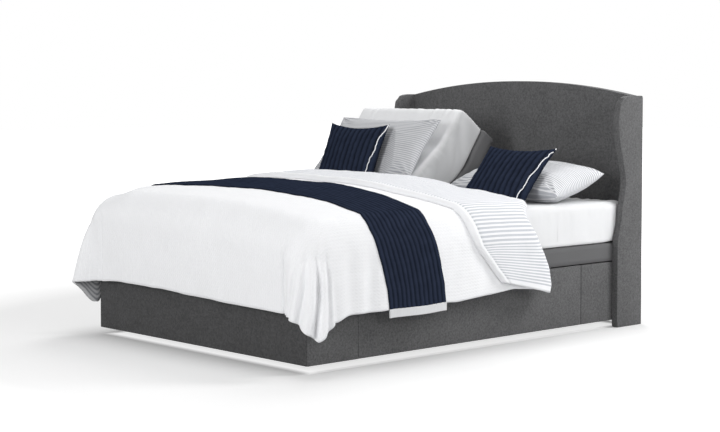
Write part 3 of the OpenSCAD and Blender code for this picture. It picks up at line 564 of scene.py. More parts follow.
def waffle_cotton(tree, body, place, colour):
    """White cotton with a small raised waffle that follows the cloth, with painted shade in the waffle's hollows.
    """
    u, v, _ = cloth_axes(tree)
    rib = wave(tree, scaled(tree, noise(tree, place, 22.0, 1.0), 0.004, u), WAFFLE[0])
    cell = maths(tree, "MULTIPLY", rib, wave(tree, v, WAFFLE[1]))
    lift = scaled(tree, cell, 0.55, scaled(tree, rib, 0.45))
    soft = noise(tree, place, 7.0, 3.0)
    grain = noise(tree, place, 150.0, 3.0, 0.6)
    # The tone is paler on the raised waffle and darker in its hollows: painted shade
    tone = scaled(tree, grain, 0.5, scaled(tree, lift, 0.16, scaled(tree, soft, 0.4, 0.10)))
    paint(tree, body, tone, colour, 0.93, 1.04)
    raise_surface(tree, body, scaled(tree, grain, 0.8, scaled(tree, soft, 3.0, lift)), 0.0010, 0.5)
    feel(body, 0.9, 0.22, sheen=0.08)


def striped_cotton(tree, body, place, ground, stripe, pitch, width, border=0.0, across=0):
    """Cotton with woven stripes along one way of the cloth, and a plain border along its free edges."""
    parts = cloth_axes(tree)
    line = ramp(tree, scaled(tree, wave(tree, parts[across], pitch), 0.5, 0.5), 0.85 - width, 1.15 - width)
    grain = noise(tree, place, 300.0)
    share = maths(tree, "MULTIPLY", line, scaled(tree, grain, 0.5, 0.6))
    if border:
        inside = maths(tree, "GREATER_THAN", parts[1], border)
        hem = SHOULDER_X + HANG - 0.6 * border
        above = maths(tree, "LESS_THAN", maths(tree, "ABSOLUTE", parts[0]), hem)
        share = maths(tree, "MULTIPLY", share, maths(tree, "MULTIPLY", inside, above))
    pale = mixed(tree, noise(tree, place, 18.0), shade(ground, 0.94), shade(ground, 1.02))
    tree.links.new(mixed(tree, share, pale, shade(stripe)), body.inputs["Base Color"])
    raise_surface(tree, body, scaled(tree, line, -0.35, scaled(tree, grain, 0.5)), 0.0008, 0.6)
    feel(body, 0.9, 0.22)


def navy_cloth(tree, body, place, colour):
    """Dense matt navy cotton with painted light along the middle of its channels and painted shade in the sewn
    seams between them: the second UV value counts the channels.
    """
    fine = noise(tree, place, 600.0)
    soft = noise(tree, place, 22.0, 3.0)
    channel = cloth_axes(tree)[1]
    # Painted shade in the sewn seams and painted light along the middle of each channel
    ridge = maths(tree, "POWER", maths(tree, "ABSOLUTE", wave(tree, channel, 2.0)), 0.8)
    tone = scaled(tree, ridge, 0.8, varied(tree, soft, 0.6, varied(tree, fine, 0.5, -0.05)))
    paint(tree, body, tone, colour, 0.50, 1.50)
    raise_surface(tree, body, scaled(tree, soft, 1.2, fine), 0.0006, 0.6)
    feel(body, 1.0, 0.0)


def worn_metal(tree, body, place, colour, metallic, roughness, scratch):
    """Painted or bare metal with dulled patches and fine scratches."""
    stretched = add(tree, "ShaderNodeMapping", Vector=place, Scale=(1.0, 0.05, 1.0)).outputs[0]
    streak = noise(tree, stretched, 900.0)
    tone = varied(tree, streak, scratch, noise(tree, place, 14.0, 3.0, 0.55))
    paint(tree, body, tone, colour, 0.8, 1.2)
    tree.links.new(scaled(tree, tone, 0.25, roughness - 0.12), body.inputs["Roughness"])
    raise_surface(tree, body, streak, 0.0002, 0.4)
    body.inputs["Metallic"].default_value = metallic


def moulded(tree, body, place, colour, roughness):
    """Moulded plastic or rubber with a fine texture."""
    patch = noise(tree, place, 20.0)
    paint(tree, body, patch, colour, 0.8, 1.3)
    tree.links.new(scaled(tree, patch, 0.15, roughness), body.inputs["Roughness"])
    raise_surface(tree, body, noise(tree, place, 1100.0, 1.0, 0.4), 0.0002, 0.5)


def sizes():
    """The sizes that the sidebar shows."""
    return bpy.context.scene.bed_sizes


def finish_named(name):
    """One of the bed's finishes, made when it is first asked for.

    None has the name of a material slot, because the CAD nodes' own materials have those names.
    """
    ready = bpy.data.materials.get(name)
    if ready:
        return ready
    tint, pitch = bpy.context.scene.bed_colours, sizes().stripe_pitch
    white, stripe = tint.cotton, tint.stripe
    recipes = {
        "base_weave": (woven_wool, tint.weave),
        # The foot panel's weave is a darker copy of the base weave: painted shade
        "foot_weave": (woven_wool, shade(tint.weave, 0.60)),
        "deck_cloth": (plain_cover, tint.deck),
        "fitted_sheet": (cotton, tint.sheet, 0.5),
        # The raised half's sheet is a paler copy of the fitted sheet, painted light, with painted shade on its
        # upright side at the split
        "raised_sheet": (cotton, shade(tint.sheet, 1.06), 0.5, 0.52),
        "duvet_waffle": (waffle_cotton, white),
        # The duvet's underside is a darker copy of the turn-back's striped cloth: painted shade
        "duvet_lining": (striped_cotton, shade(white, 0.52), shade(stripe, 0.40), pitch, 0.5),
        "turn_back_stripe": (striped_cotton, white, stripe, pitch, 0.5, HEM_BORDER),
        "pillow_cotton": (striped_cotton, shade(white, 0.90), shade(stripe, 0.78), PILLOW_PITCH, 0.45, 0, 1),
        # The left pillow's cotton is a darker copy of the pillow cotton: painted shade
        "pillow_cotton_left": (
            striped_cotton, shade(white, 0.68), shade(stripe, 0.66), PILLOW_PITCH, 0.45, 0, 1),
        "navy_cotton": (navy_cloth, tint.navy),
        "white_piping": (cotton, white, 0.2),
        "ribbed_band": (cotton, shade(white, 0.80), 0.2),
        "painted_tube": (worn_metal, (0.035, 0.036, 0.04), 0.2, 0.45, 0.3),
        "zinc_steel": (worn_metal, (0.50, 0.51, 0.53), 1.0, 0.38, 0.8),
        "box_plastic": (moulded, (0.022, 0.022, 0.024), 0.5),
        "soft_rubber": (moulded, (0.015, 0.015, 0.015), 0.75),
    }
    recipe, *values = recipes[name]
    finish, tree, body, place = shader(name)
    recipe(tree, body, place, *values)
    return finish


def dress(piece, finish, body=None):
    """Gives a piece its finish if it has none yet and, if it bends nowhere, the body it rides on."""
    if not piece.data.materials:
        piece.data.materials.append(finish)
    if body:
        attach(piece, body)


# Upholstered panels


def padded_panel(node, name, radius, finish, body="base"):
    """An upholstered piece over a CAD panel: the same form with its edges rounded off."""
    piece = bpy.data.objects.new(name, NODES[node].data.copy())
    piece.data.materials.clear()
    bpy.context.collection.objects.link(piece)
    alone(piece)
    bpy.ops.object.mode_set(mode="EDIT")
    bpy.ops.mesh.select_all(action="SELECT")
    bpy.ops.mesh.remove_doubles(threshold=0.00001)
    bpy.ops.mesh.dissolve_limited(angle_limit=LEVEL_TO)
    bpy.ops.mesh.normals_make_consistent(inside=False)
    bpy.ops.object.mode_set(mode="OBJECT")
    bevel = piece.modifiers.new("Rounded edges", "BEVEL")
    bevel.width = radius
    bevel.segments = 4
    bevel.limit_method = "ANGLE"
    bevel.angle_limit = ROUNDED_FROM
    bpy.ops.object.modifier_apply(modifier=bevel.name)
    bpy.ops.object.shade_smooth_by_angle(angle=SHARP_FROM)
    dress(piece, finish, body)
    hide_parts(node)


def welt(name, outline):
    """A welt along a closed line of points."""
    closed = np.vstack([outline, outline[:1]])
    along = walked(closed)
    at = np.linspace(0, along[-1], int(along[-1] / WELT_STEP), endpoint=False)
    line = np.stack([np.interp(at, along, closed[:, k]) for k in range(3)], 1)
    curve = bpy.data.curves.new(name, "CURVE")
    curve.dimensions = "3D"
    curve.bevel_depth = sizes().welt_radius
    curve.bevel_resolution = 2
    spline = curve.splines.new("POLY")
    spline.points.add(len(line) - 1)
    for point, place in zip(spline.points, line):
        point.co = (*place, 1)
    spline.use_cyclic_u = True
    piece = bpy.data.objects.new(name, curve)
    bpy.context.collection.objects.link(piece)
    alone(piece)
    bpy.ops.object.convert(target="MESH")
    bpy.ops.object.shade_smooth()
    dress(bpy.context.object, finish_named("base_weave"), "base")


class BED_OT_upholster_base(bpy.types.Operator):
    """Covers the panels of the base in the grey weave, with rounded edges, the foot panel in a darker copy of it
    as painted shade.
    """

    bl_idname = "bed.upholster_base"
    bl_label = "Upholster the base"

    def execute(self, context):
        for node in ("foot_panel", "foot_corner_panels", "side_panel_left", "side_panel_right",
                     "head_corner_panels"):
            # The foot panel takes the darker copy of the weave, as painted shade
            weave = finish_named("foot_weave" if node == "foot_panel" else "base_weave")
            padded_panel(node, f"{node}_cover", sizes().edge_radius * 0.7, weave)
        return {"FINISHED"}


def wing_outline(node, x, inset):
    """The wing's outline at one of its faces, from the CAD mesh, drawn in by inset."""
    spots = (vertex.co for vertex in NODES[node].data.vertices)
    places = np.array(sorted({(round(co.y, 5), round(co.z, 5)) for co in spots if abs(co.x - x) < 0.0005}))
    back = places[:, 0].max()
    at_back = places[:, 0] > back - 0.001
    front = places[~at_back]
    front = front[np.argsort(front[:, 1])]
    loop = np.vstack([[[back, 0.0]], front, [[back, places[at_back][:, 1].max()]]])
    lean = np.array([back, 0]) + WING_MIDDLE - loop
    drawn = loop + inset * np.sign(lean) * np.minimum(1, np.abs(lean) / 0.02)
    return np.column_stack([np.full(len(drawn), x), drawn])


class BED_OT_upholster_headboard(bpy.types.Operator):
    """Covers the arched panel and the two wings, and sews a welt round the wings' faces."""

    bl_idname = "bed.upholster_headboard"
    bl_label = "Upholster the headboard"

    def execute(self, context):
        weave, radius, thick = finish_named("base_weave"), sizes().edge_radius, sizes().welt_radius
        padded_panel("headboard_panel", "headboard_cover", radius, weave)
        for side, word in SIDES:
            node = f"headboard_wing_{word}"
            padded_panel(node, f"{node}_cover", radius, weave)
            faces = [(corner.x, inwards) for corner, inwards in zip(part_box(node), (1, -1))]
            for face, (x, inwards) in zip(("inner", "outer"), faces[::side]):
                line = wing_outline(node, x, thick * 0.8)
                line[:, 0] += inwards * thick * 0.9
                line[:, 2] = np.maximum(line[:, 2], thick)
                welt(f"{node}_welt_{face}", line)
        return {"FINISHED"}


# Decks


def rounded_section(x0, x1, z0, z1, low_r, high_r, count):
    """A closed cross-section: over the top from left to right, then back underneath.

    It gives the points and their outward directions, with as many above as below.
    """
    middle = (z0 + z1) / 2

    def path(r, z, way):
        """The upper or the lower half, from left to right."""
        arc = np.linspace(0, math.pi / 2, 9)
        left = [(x0 + r - r * math.cos(a), z - way * (r - r * math.sin(a))) for a in arc]
        right = [(x1 - r + r * math.cos(a), z - way * (r - r * math.sin(a))) for a in arc[::-1]]
        line = np.array([(x0, middle), *left, *right, (x1, middle)])
        along = walked(line)
        # Points stand closer together round the edges of a wide section
        t = np.linspace(0, 1, count)
        t = t + 0.055 * np.sin(4 * math.pi * t) * (1 if x1 - x0 > 0.4 else 0)
        return np.stack([np.interp(t * along[-1], along, line[:, k]) for k in (0, 1)], 1)

    top, low = path(high_r, z1, 1), path(low_r, z0, -1)
    loop = np.vstack([top, low[::-1]])
    ahead = np.roll(loop, -1, 0) - np.roll(loop, 1, 0)
    return loop, unit(np.stack([-ahead[:, 1], ahead[:, 0]], 1))


class BED_OT_cover_decks(bpy.types.Operator):
    """Covers the deck sections. One cover runs over each back section and its neck section."""

    bl_idname = "bed.cover_decks"
    bl_label = "Cover the decks"

    def execute(self, context):
        cloth = finish_named("deck_cloth")
        for node, body in (("seat_deck", "base"), ("thigh_deck", "thigh"), ("calf_deck", "calf")):
            padded_panel(node, f"{node}_cover", DECK_COVER_EDGE, cloth, body)
        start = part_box("back_deck_right")[0].y - FOOT_FACE
        y = np.linspace(start, BED_LENGTH, 90)[:, None]
        pull = DECK_EDGE * (1 - quarter(np.minimum(y - start, BED_LENGTH - y) / DECK_EDGE))
        for side, word in SIDES:
            x0, x1 = sorted((side * SPLIT, side * HALF_WIDTH))
            loop, _ = rounded_section(x0, x1, DECK_LOW, DECK_TOP, DECK_EDGE, DECK_EDGE, 70)
            centre = np.array([(x0 + x1) / 2, (DECK_LOW + DECK_TOP) / 2])
            half = np.array([(x1 - x0) / 2, (DECK_TOP - DECK_LOW) / 2])
            drawn = centre + (loop - centre) * (1 - pull[..., None] / half)
            rings = np.stack([drawn[..., 0], y + 0 * drawn[..., 0], drawn[..., 1]], -1)
            if side < 0:
                share = zone_share(rings[..., 1], DECK_NECK_ZONE)
                rings = turned(rings, NECK_FOLD, FOLD_Z, NECK_RAISED * share)
            rings = raised_stiff(rings, side)
            piece = tube(f"back_deck_{word}_cover", rings)
            dress(piece, cloth)
            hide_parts(f"back_deck_{word}", f"neck_deck_{word}")
            follow(piece, DECK_NECK_ZONE, side)
        return {"FINISHED"}


# Mattress


def sheet_depth(x, y, z, outward):
    """How far the fitted sheet lies inside the mattress's form at each point."""
    split_side = np.abs(x) < 0.02
    deep = sizes().sheet_folds * np.where(split_side, 2.0, 1.0)
    upright = outward[:, 0] ** 2
    height = (z - DECK_TOP) / (MATTRESS_TOP - DECK_TOP)
    falls = lumps(y, z * 0.35 + x * 3, 0.034, 0.09, 11) * 0.6 + lumps(y + z * 0.18, z, 0.075, 0.5, 12) * 0.7
    lean = y * 0.82 + z * 0.57
    slide = z * 0.82 - y * 0.57
    diagonal = lumps(lean, slide, 0.24, 0.050, 13) + 0.4 * lumps(lean, slide, 0.12, 0.024, 17)
    folds = np.where(split_side, diagonal, falls)
    gathers = lumps(y, z, 0.016, 0.09, 14) * smooth((height - 0.62) / 0.3) * 0.55
    folds = folds * smooth(height / 0.2) * (1 - 0.75 * smooth((height - 0.75) / 0.25)) + gathers
    drawn = 0.0045 * (lumps(x, y, 0.021, 0.30, 16) - 0.6) * smooth((y - BED_LENGTH + 0.19) / 0.12)
    soft = (lumps(x, y, 0.16, 0.13, 15) * 0.0012 + drawn) * (1 - upright)
    depth = deep * upright * (folds * 0.5 - 0.5) + soft - 0.0012
    return np.minimum(depth, 0.0)


def mattress_part(name, side, y0, y1, cuts):
    """One stretch of the mattress in its sheet, with its ends rounded where the mattress ends."""
    x0, x1 = (-HALF_WIDTH, HALF_WIDTH) if side == 0 else sorted((side * SPLIT, side * HALF_WIDTH))
    low = DECK_TOP + CLEARANCE
    loop, outward = rounded_section(
        x0, x1, low, MATTRESS_TOP, MATTRESS_LOW_EDGE, MATTRESS_EDGE, 150 if side == 0 else 96)
    ys = np.linspace(y0, y1, int((y1 - y0) / SHEET_STEP))
    ys = np.concatenate([[y0 - SHEET_STEP], ys] if cuts[0] else [ys[:1], y0 + END_STEPS, ys[4:]])
    ys = np.concatenate([ys, [y1 + SHEET_STEP]] if cuts[1] else [ys[:-4], y1 - END_STEPS[::-1], ys[-1:]])
    from_foot = 1.0 if cuts[0] else ys - y0
    from_head = 1.0 if cuts[1] else y1 - ys
    near = np.minimum(from_foot, from_head) + 0 * ys
    pull = MATTRESS_EDGE * (1 - quarter(near / MATTRESS_EDGE))[:, None]
    centre, half = (x0 + x1) / 2, (x1 - x0) / 2
    x = centre + (loop[:, 0] - centre) * (1 - 0.45 * pull / half)
    z = low + (loop[:, 1] - low) * (1 - pull / (MATTRESS_TOP - low))
    y = np.broadcast_to(ys[:, None], x.shape)
    depth = sheet_depth(x, y, z, outward)
    x, z = x + outward[:, 0] * depth, np.maximum(z + outward[:, 1] * depth, low)
    uv = np.stack([np.broadcast_to(walked(loop), x.shape), y], -1)
    piece = tube(name, raised(np.stack([x, y, z], -1), side), uv, cuts)
    # The raised half wears a paler copy of the sheet as painted light, with painted shade down its upright side at
    # the split
    dress(piece, finish_named("raised_sheet" if side < 0 else "fitted_sheet"))
    return piece


class BED_OT_lay_mattress(bpy.types.Operator):
    """Lays the mattress in its fitted sheet, whole up to the seat and in two halves from there."""

    bl_idname = "bed.lay_mattress"
    bl_label = "Lay the mattress"

    def execute(self, context):
        legs = mattress_part("mattress_legs", 0, MATTRESS_FOOT, LEG_CUT, (False, True))
        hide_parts("mattress_calf")
        follow(legs, KNEE_ZONE)
        seat = mattress_part("mattress_middle", 0, LEG_CUT, SEAT_CUT, (True, True))
        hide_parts("mattress_thigh", "mattress_seat")
        follow(seat, THIGH_ZONE)
        for side, word in SIDES:
            back = mattress_part(f"mattress_back_{word}_soft", side, SEAT_CUT, BACK_CUT, (True, True))
            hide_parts(f"mattress_back_{word}")
            follow(back, BACK_ZONE, side)
            neck = mattress_part(f"mattress_neck_{word}_soft", side, BACK_CUT, BED_LENGTH, (True, False))
            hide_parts(f"mattress_neck_{word}")
            follow(neck, NECK_ZONE, side)
        return {"FINISHED"}


# Duvet, turn-back and runner


def crown_z(x, y):
    """Height of the duvet's top: full and level on the raised side, falling away on the flat side."""
    low = MATTRESS_TOP + np.where(x < 0, 0.080, 0.024)
    top = MATTRESS_TOP + sizes().duvet_crown - 0.055 * np.maximum(0, 0.712 - y)
    full = low + (top - low) * (1 - (np.abs(x) / SHOULDER_X) ** np.where(x < 0, 5.0, 1.9))
    thinner = 0.55 * smooth((y - 1.0) / 0.4) * smooth(x / 0.3)
    return full - (full - MATTRESS_TOP) * thinner


def corner_sag(x, y):
    """How far the duvet sinks at the far corner of the foot."""
    away = np.hypot(SHOULDER_X - np.abs(x), y - SHOULDER_Y)
    return np.where(x < 0, 0.034, 0.0) * (1 - smooth(away / 0.17))


def hem_height(y):
    """Height of the duvet's side hem along the bed."""
    return np.interp(y, [0.0, 0.78, 0.90, 1.09, 1.16, 1.43], [0.236, 0.236, 0.243, 0.254, 0.258, 0.236])


def foot_hem_rise(x):
    """How much higher the duvet's foot hem hangs than its side hem: most under the raised side."""
    return np.interp(x, [-0.70, -0.60, -0.50, -0.30, 0.0, 0.30, 0.60, 0.70],
                     [0.022, 0.032, 0.037, 0.036, 0.027, 0.021, 0.018, 0.016])


def side_reach(r, a, near):
    """How far the duvet stands out past its shoulder, closest to the mattress on the near side."""
    full = sizes().duvet_out * np.sin(np.minimum(1, r / RUN) * math.pi / 2)
    close = full * 0.78 + 0.22 * sizes().duvet_out * np.minimum(1, r / HANG)
    share = np.where(near, np.cos(a) ** 2, 0)
    return full + (close - full) * share


def ear_drop(a, near):
    """How much lower the hem hangs round a foot corner, where a is 0 at the side."""
    middle = np.where(near, math.radians(35), math.radians(25))
    width = np.where(near, math.radians(26), math.radians(14))
    past = np.abs(a - middle) / width
    return np.where(near, 0.092 * np.exp(-past ** 1.35), 0.095 * bell(past))


def fall_share(r, a, start=RUN):
    """0 at the shoulder's end or another start, 1 at the hem, on any line round a foot corner."""
    return np.maximum(0, (r - start) / (HANG / np.maximum(np.cos(a), np.sin(a)) - start))


def bump_at(a, middle, width):
    """1 where an angle is at a middle, falling to 0 past a width, both in degrees."""
    return bell((a - math.radians(middle)) / math.radians(width))


def ear_flare(r, a, near):
    """How far the spare cloth at a foot corner stands out, in a few hanging folds."""
    h = fall_share(r, a)
    early = fall_share(r, a, 0.55 * RUN)
    broad = sizes().duvet_ear * np.sin(2 * a) ** 0.8
    narrow = 1.55 * np.sin(2 * a) * sizes().duvet_ear * bump_at(a, 52, 22)
    bent = a + 0.07 * np.sin(4 * early)
    folds = sum(-depth * bump_at(bent, middle, width) for middle, width, depth in EAR_FOLDS)
    slack = -0.012 * bump_at(a, 70, 6)
    near_flare = (broad + 0.014 * np.sin(2 * a)) * h ** 0.72 + folds * smooth(early / 0.6) * early ** 0.4
    return np.where(near, near_flare, (narrow + slack * smooth(h / 0.3)) * h ** 0.72)


def duvet_relief(side, x, y, du, dv):
    """Soft puffs and hanging folds of the duvet, as a distance outwards."""
    u, v = x + side * du, y - dv
    puffs = 0.0042 * lumps(u, v, 0.23, 0.21, 21) + 0.0020 * lumps(u, v, 0.085, 0.10, 22)
    at_side = np.where(dv > 0, 0.0, 1.0)
    hung = smooth((np.maximum(du, dv) - 0.10) / 0.25)
    side_folds = 0.0070 * lumps(v + 0.25 * du, du, 0.085, 0.55, 23) * at_side
    ripples = 0.0085 * bell((y - 0.24) / 0.16) * np.cos(2 * math.pi * (y + 0.05 * du) / 0.125)
    foot_folds = 0.0020 * lumps(u, dv, 0.11, 0.7, 24) * (1 - at_side)
    # One crease down the foot beside each corner, where the spare cloth begins
    past = np.abs(x) - CREASE_X
    deep_side = np.exp(-np.maximum(0, past) / 0.030) * smooth((past + 0.004) / 0.008)
    near_crease = np.where(du > 0, 0.014, 0.014 * smooth(past / 0.03) - 0.017 * bell(past / 0.009))
    at_corner = math.exp((CREASE_X - SHOULDER_X) / 0.030) * np.maximum(0, 1 - du / 0.1)
    far_crease = -0.020 * np.where(du > 0, at_corner, deep_side)
    crease = np.where(x > 0, near_crease, far_crease) * (1 - at_side) * smooth((dv - 0.15) / 0.12)
    fine = 0.0009 * lumps(u, v, 0.030, 0.034, 25)
    return puffs + fine + hung * (side_folds + ripples * at_side + foot_folds) + crease


def duvet_point(x, y, du, dv, side, off, hem=None):
    """The duvet's outer face: x and y on the bed, and how far the cloth goes on past its shoulders."""
    r = np.hypot(du, dv)
    a = np.where(r > 0, np.arctan2(dv, du), math.pi / 2)
    t = np.minimum(math.pi / 2, math.pi / 2 * r / RUN)
    near = side > 0
    off = off + duvet_relief(side, x, y, du, dv)
    out = side_reach(r, a, near) + off * np.sin(t)
    ear = ear_flare(r, a, near)
    top = crown_z(x, y)
    sag = corner_sag(x, y)
    hem = hem_height(y) if hem is None else hem
    ragged = 0.0025 * lumps(x + side * du, y - dv, 0.09, 0.1, 26)
    foot_drop = ear_drop(a, near) * smooth(np.abs(x) / 0.4)
    drop = np.where(dv > 0, foot_drop, ear_drop(0.0, near) * bell((y - SHOULDER_Y) / 0.04))
    hem = hem + np.where(dv > 0, foot_hem_rise(x), 0) * np.sin(a) ** 2 + ragged - drop
    bend = 1 - np.where(near, 0.1, 0.32) * np.sin(2 * a) ** 2
    z = np.where(r < RUN, top - sag - (DROP - sag) * (1 - np.cos(t)) ** bend,
                 top - DROP - (top - DROP - hem) * fall_share(r, a))
    px = x + np.where(du > 0, side, 0) * (out + ear) * np.cos(a)
    py = y - np.where(dv > 0, 1, 0) * (out + ear) * np.sin(a)
    return np.stack([px, py, z + off * np.cos(t)], -1)


def lining_point(x, y, du, dv, side, hem=None):
    """The duvet's inner face: flat on the mattress, close round its edge, then hanging free."""
    # k counts eight steps from the top to the hem: four round the edge and four down the fall
    steps = np.concatenate([np.linspace(0, RUN, 5), np.linspace(RUN, HANG, 5)[1:]])
    across, down = np.interp(du, steps, np.arange(9)), np.interp(dv, steps, np.arange(9))
    k = np.maximum(across, down)
    r = np.hypot(du, dv)
    a = np.where(r > 0, np.arctan2(dv, du), 0)
    near = side > 0
    hems = sizes().duvet_out - 0.020
    in_side = np.interp(k, [0, 1, 2, 3, 4, 5, 8], [0, 0.047, 0.053, 0.060, 0.085, hems - 0.01, hems])
    in_foot = np.interp(k, [0, 1, 2, 3, 4, 5, 8], [0, 0.018, 0.020, 0.052, 0.086, hems, hems])
    big = np.maximum(np.cos(a), np.sin(a))
    big = big + (1 - big) * smooth(k - 2)
    wave_out = ear_flare(r, a, near) + duvet_relief(side, x, y, du, dv) * smooth(k - 3)
    bed_z = MATTRESS_TOP + CLEARANCE
    share = np.interp(k, [0, 1, 2, 3], [0, 0, 0.45, 0.75])
    low_z = bed_z - share * (bed_z - crown_z(x, y) + DROP - 0.004)
    outer_z = duvet_point(x, y, du, dv, side, 0.0, hem)[..., 2]
    free_z = outer_z + np.interp(k, [4, 5], [0.004, 0.0])
    z = low_z + (free_z - low_z) * np.clip(k - 3, 0, 1)
    px = x + np.where(du > 0, side, 0) * (in_side / big + wave_out) * np.cos(a)
    py = y - np.where(dv > 0, 1, 0) * (in_foot / big + wave_out) * np.sin(a)
    return np.stack([px, py, z], -1)


def head_edge(x, du):
    """Where the duvet's head edge lies: drawn down on the raised side, slack over the near shoulder."""
    ease = (1 - np.cos(math.pi * np.clip(x / 0.2, 0, 1))) / 2
    top = 1.196 + (1.438 - 1.196) * ease - 0.055 * smooth((x - 0.40) / 0.30)
    slack = np.interp(du, [0, 0.06, 0.13, 0.20, 0.27, 0.35, 0.43, HANG],
                      [0, -0.058, -0.080, -0.052, -0.020, 0.018, 0.031, 0.018])
    return top + np.where(x > 0, slack, 0)


def across_cloth(reach, flat=88):
    """The columns of a cloth that hangs over both sides: its x on the bed, its fall and its side."""
    fall = np.linspace(reach, 0, 42, endpoint=False)
    close = np.linspace(0.648, SHOULDER_X, 14)
    middle = np.concatenate([-close[::-1], np.linspace(-0.636, 0.636, flat), close])
    x = np.concatenate([0 * fall - SHOULDER_X, middle, 0 * fall + SHOULDER_X])
    du = np.concatenate([fall, 0 * middle, fall[::-1]])
    return x, du, np.where(x < 0, -1.0, 1.0)


def duvet_part(name, ys, dvs, cuts, head=False):
    """A stretch of the duvet between its rows."""
    x, du, side = across_cloth(HANG)
    dv = np.array(dvs)[:, None]
    y = np.array(ys)[:, None] + 0 * x
    if head:
        end = head_edge(x, du) - INSIDE_TURN
        y = SEAT_CUT + (y - SEAT_CUT) / (HEAD_EDGE - SEAT_CUT) * (end - SEAT_CUT)
    x, du, side, dv = np.broadcast_arrays(x, du, side, dv + 0 * y)
    lining = lining_point(x, y, du, dv, side)
    outer = duvet_point(x, y, du, dv, side, 0.0)
    if head:
        outer = lining + (outer - lining) * quarter((end - y) / 0.055)[..., None]
    uv = np.stack([x + side * du, y - dv], -1)
    # The underside wears a darker copy of the striped cloth of the turn-back, as painted shade
    cloths = [finish_named("duvet_waffle"), finish_named("duvet_lining")]
    piece = shell(name, outer, lining, uv, cuts, cloths)
    dress(piece, cloths[0])
    return piece


class BED_OT_spread_duvet(bpy.types.Operator):
    """Spreads the duvet over the mattress, down both sides and over the foot."""

    bl_idname = "bed.spread_duvet"
    bl_label = "Spread the duvet"

    def execute(self, context):
        down = list(np.linspace(HANG, 0, 40, endpoint=False))
        flat = list(np.arange(SHOULDER_Y, LEG_CUT - DUVET_STEP / 2, DUVET_STEP))
        flat += [LEG_CUT, LEG_CUT + DUVET_STEP]
        ys = [SHOULDER_Y] * len(down) + flat
        foot = duvet_part("duvet_foot", ys, down + [0] * len(flat), (False, True))
        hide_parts("duvet")
        follow(foot, KNEE_ZONE)
        ys = [LEG_CUT - DUVET_STEP, *np.linspace(LEG_CUT, SEAT_CUT, 26), SEAT_CUT + DUVET_STEP]
        middle = duvet_part("duvet_middle", ys, [0] * len(ys), (True, True))
        follow(middle, THIGH_ZONE)
        closer = np.sin(np.linspace(0, math.pi / 2, 34))
        ys = np.concatenate([[SEAT_CUT - 0.01], SEAT_CUT + (HEAD_EDGE - SEAT_CUT) * closer])
        head = duvet_part("duvet_head", ys, [0] * len(ys), (True, False), head=True)
        follow(head, BACK_ZONE)
        return {"FINISHED"}


def free_edge(x, du):
    """Where the turned-back edge lies: across the top, then back towards the head as it hangs."""
    top = np.interp(x, [-0.70, -0.30, 0.05, 0.25, 0.40, 0.58, 0.70],
                    [0.860, 0.800, 0.750, 0.755, 0.780, 0.822, 0.846])
    hung = np.interp(du, [0, 0.12, 0.19, 0.28, 0.38, HANG], [0, 0.026, 0.045, 0.096, 0.160, 0.222])
    return top + hung


def turn_back_part(name, rows, cuts, upper):
    """A stretch of the turned-back duvet, from its free edge to the head edge or between them."""
    x, du, side = across_cloth(HANG)
    edge, head = free_edge(x, du), head_edge(x, du)
    t = np.array(rows)[:, None]
    y = (SEAT_CUT + t * (head - SEAT_CUT)) if upper else (edge + t * (SEAT_CUT - edge))
    x, du, side, edge, head = np.broadcast_arrays(x, du, side, edge + 0 * y, head + 0 * y)
    # The edge of the turned-back part hangs higher than the duvet's own hem under it
    fallen = np.clip((y - TURN_START) / (HEAD_EDGE - TURN_START), -0.2, 1)
    hem = TURN_HEMS[0] + (TURN_HEMS[1] - TURN_HEMS[0]) * fallen
    lining = lining_point(x, y, du, 0 * x, side, hem)
    thick = sizes().turn_back * quarter((y - edge) / 0.016)
    thick = thick + 0.003 * lumps(x + side * du, y, 0.10, 0.12, 31) * smooth((y - edge) / 0.05)
    thick = thick - 0.005 * bell((y - edge - HEM_BORDER + 0.001) / 0.006)
    outer = duvet_point(x, y, du, 0 * x, side, np.maximum(thick, 0.0012), hem)
    under = duvet_point(x, y, du, 0 * x, side, 0.0010, hem)
    outer = lining + (outer - lining) * quarter((head - y) / 0.070)[..., None]
    under = lining + (under - lining) * quarter((head - 0.0165 - y) / 0.055)[..., None]
    uv = np.stack([x + side * du, y - edge], -1)
    piece = shell(name, outer, under, uv, cuts)
    dress(piece, finish_named("turn_back_stripe"))
    return piece


class BED_OT_turn_duvet_back(bpy.types.Operator):
    """Turns the duvet's head edge back, so that its striped side shows."""

    bl_idname = "bed.turn_duvet_back"
    bl_label = "Turn the duvet back"

    def execute(self, context):
        rows = np.concatenate([[0, 0.004, 0.012, 0.025, 0.045], np.linspace(0.07, 0.17, 8),
                               np.linspace(0.2, 1, 18), [1.05]])
        low = turn_back_part("turn_back_foot_side", rows, (False, True), upper=False)
        follow(low, THIGH_ZONE)
        rows = np.concatenate([[-0.05], np.sin(np.linspace(0, math.pi / 2, 36))])
        high = turn_back_part("turn_back_head_side", rows, (True, False), upper=True)
        follow(high, BACK_ZONE)
        return {"FINISHED"}


def runner_rows(x, du, v):
    """Where a line of the runner lies, v going from its foot edge to its head edge."""
    top = np.interp(x, [-0.70, -0.30, 0.20, 0.50, 0.70], [0.292, 0.350, 0.337, 0.340, 0.326])
    slack = np.interp(du, [0, 0.06, 0.13, 0.20, 0.28, 0.38, HANG],
                      [0, -0.015, -0.019, 0.002, 0.026, 0.046, 0.052])
    return top + np.where(x > 0, slack, 0.2 * slack) + v * sizes().runner_width


def runner_sheet(name, x, du, side, v, under, lift):
    """A strip of the runner over the duvet, v being a column from 0 to 1 and lift its relief."""
    x, du, side, v = np.broadcast_arrays(x, du, side, v)
    y = runner_rows(x, du, v)
    edge = quarter(np.minimum(v, 1 - v) / 0.012)
    outer = duvet_point(x, y, du, 0 * x, side, under + 0.001 + (lift - 0.001) * edge)
    inner = duvet_point(x, y, du, 0 * x, side, under)
    uv = np.stack([x + side * du, v * sizes().runner_channels], -1)
    return shell(name, outer, inner, uv)


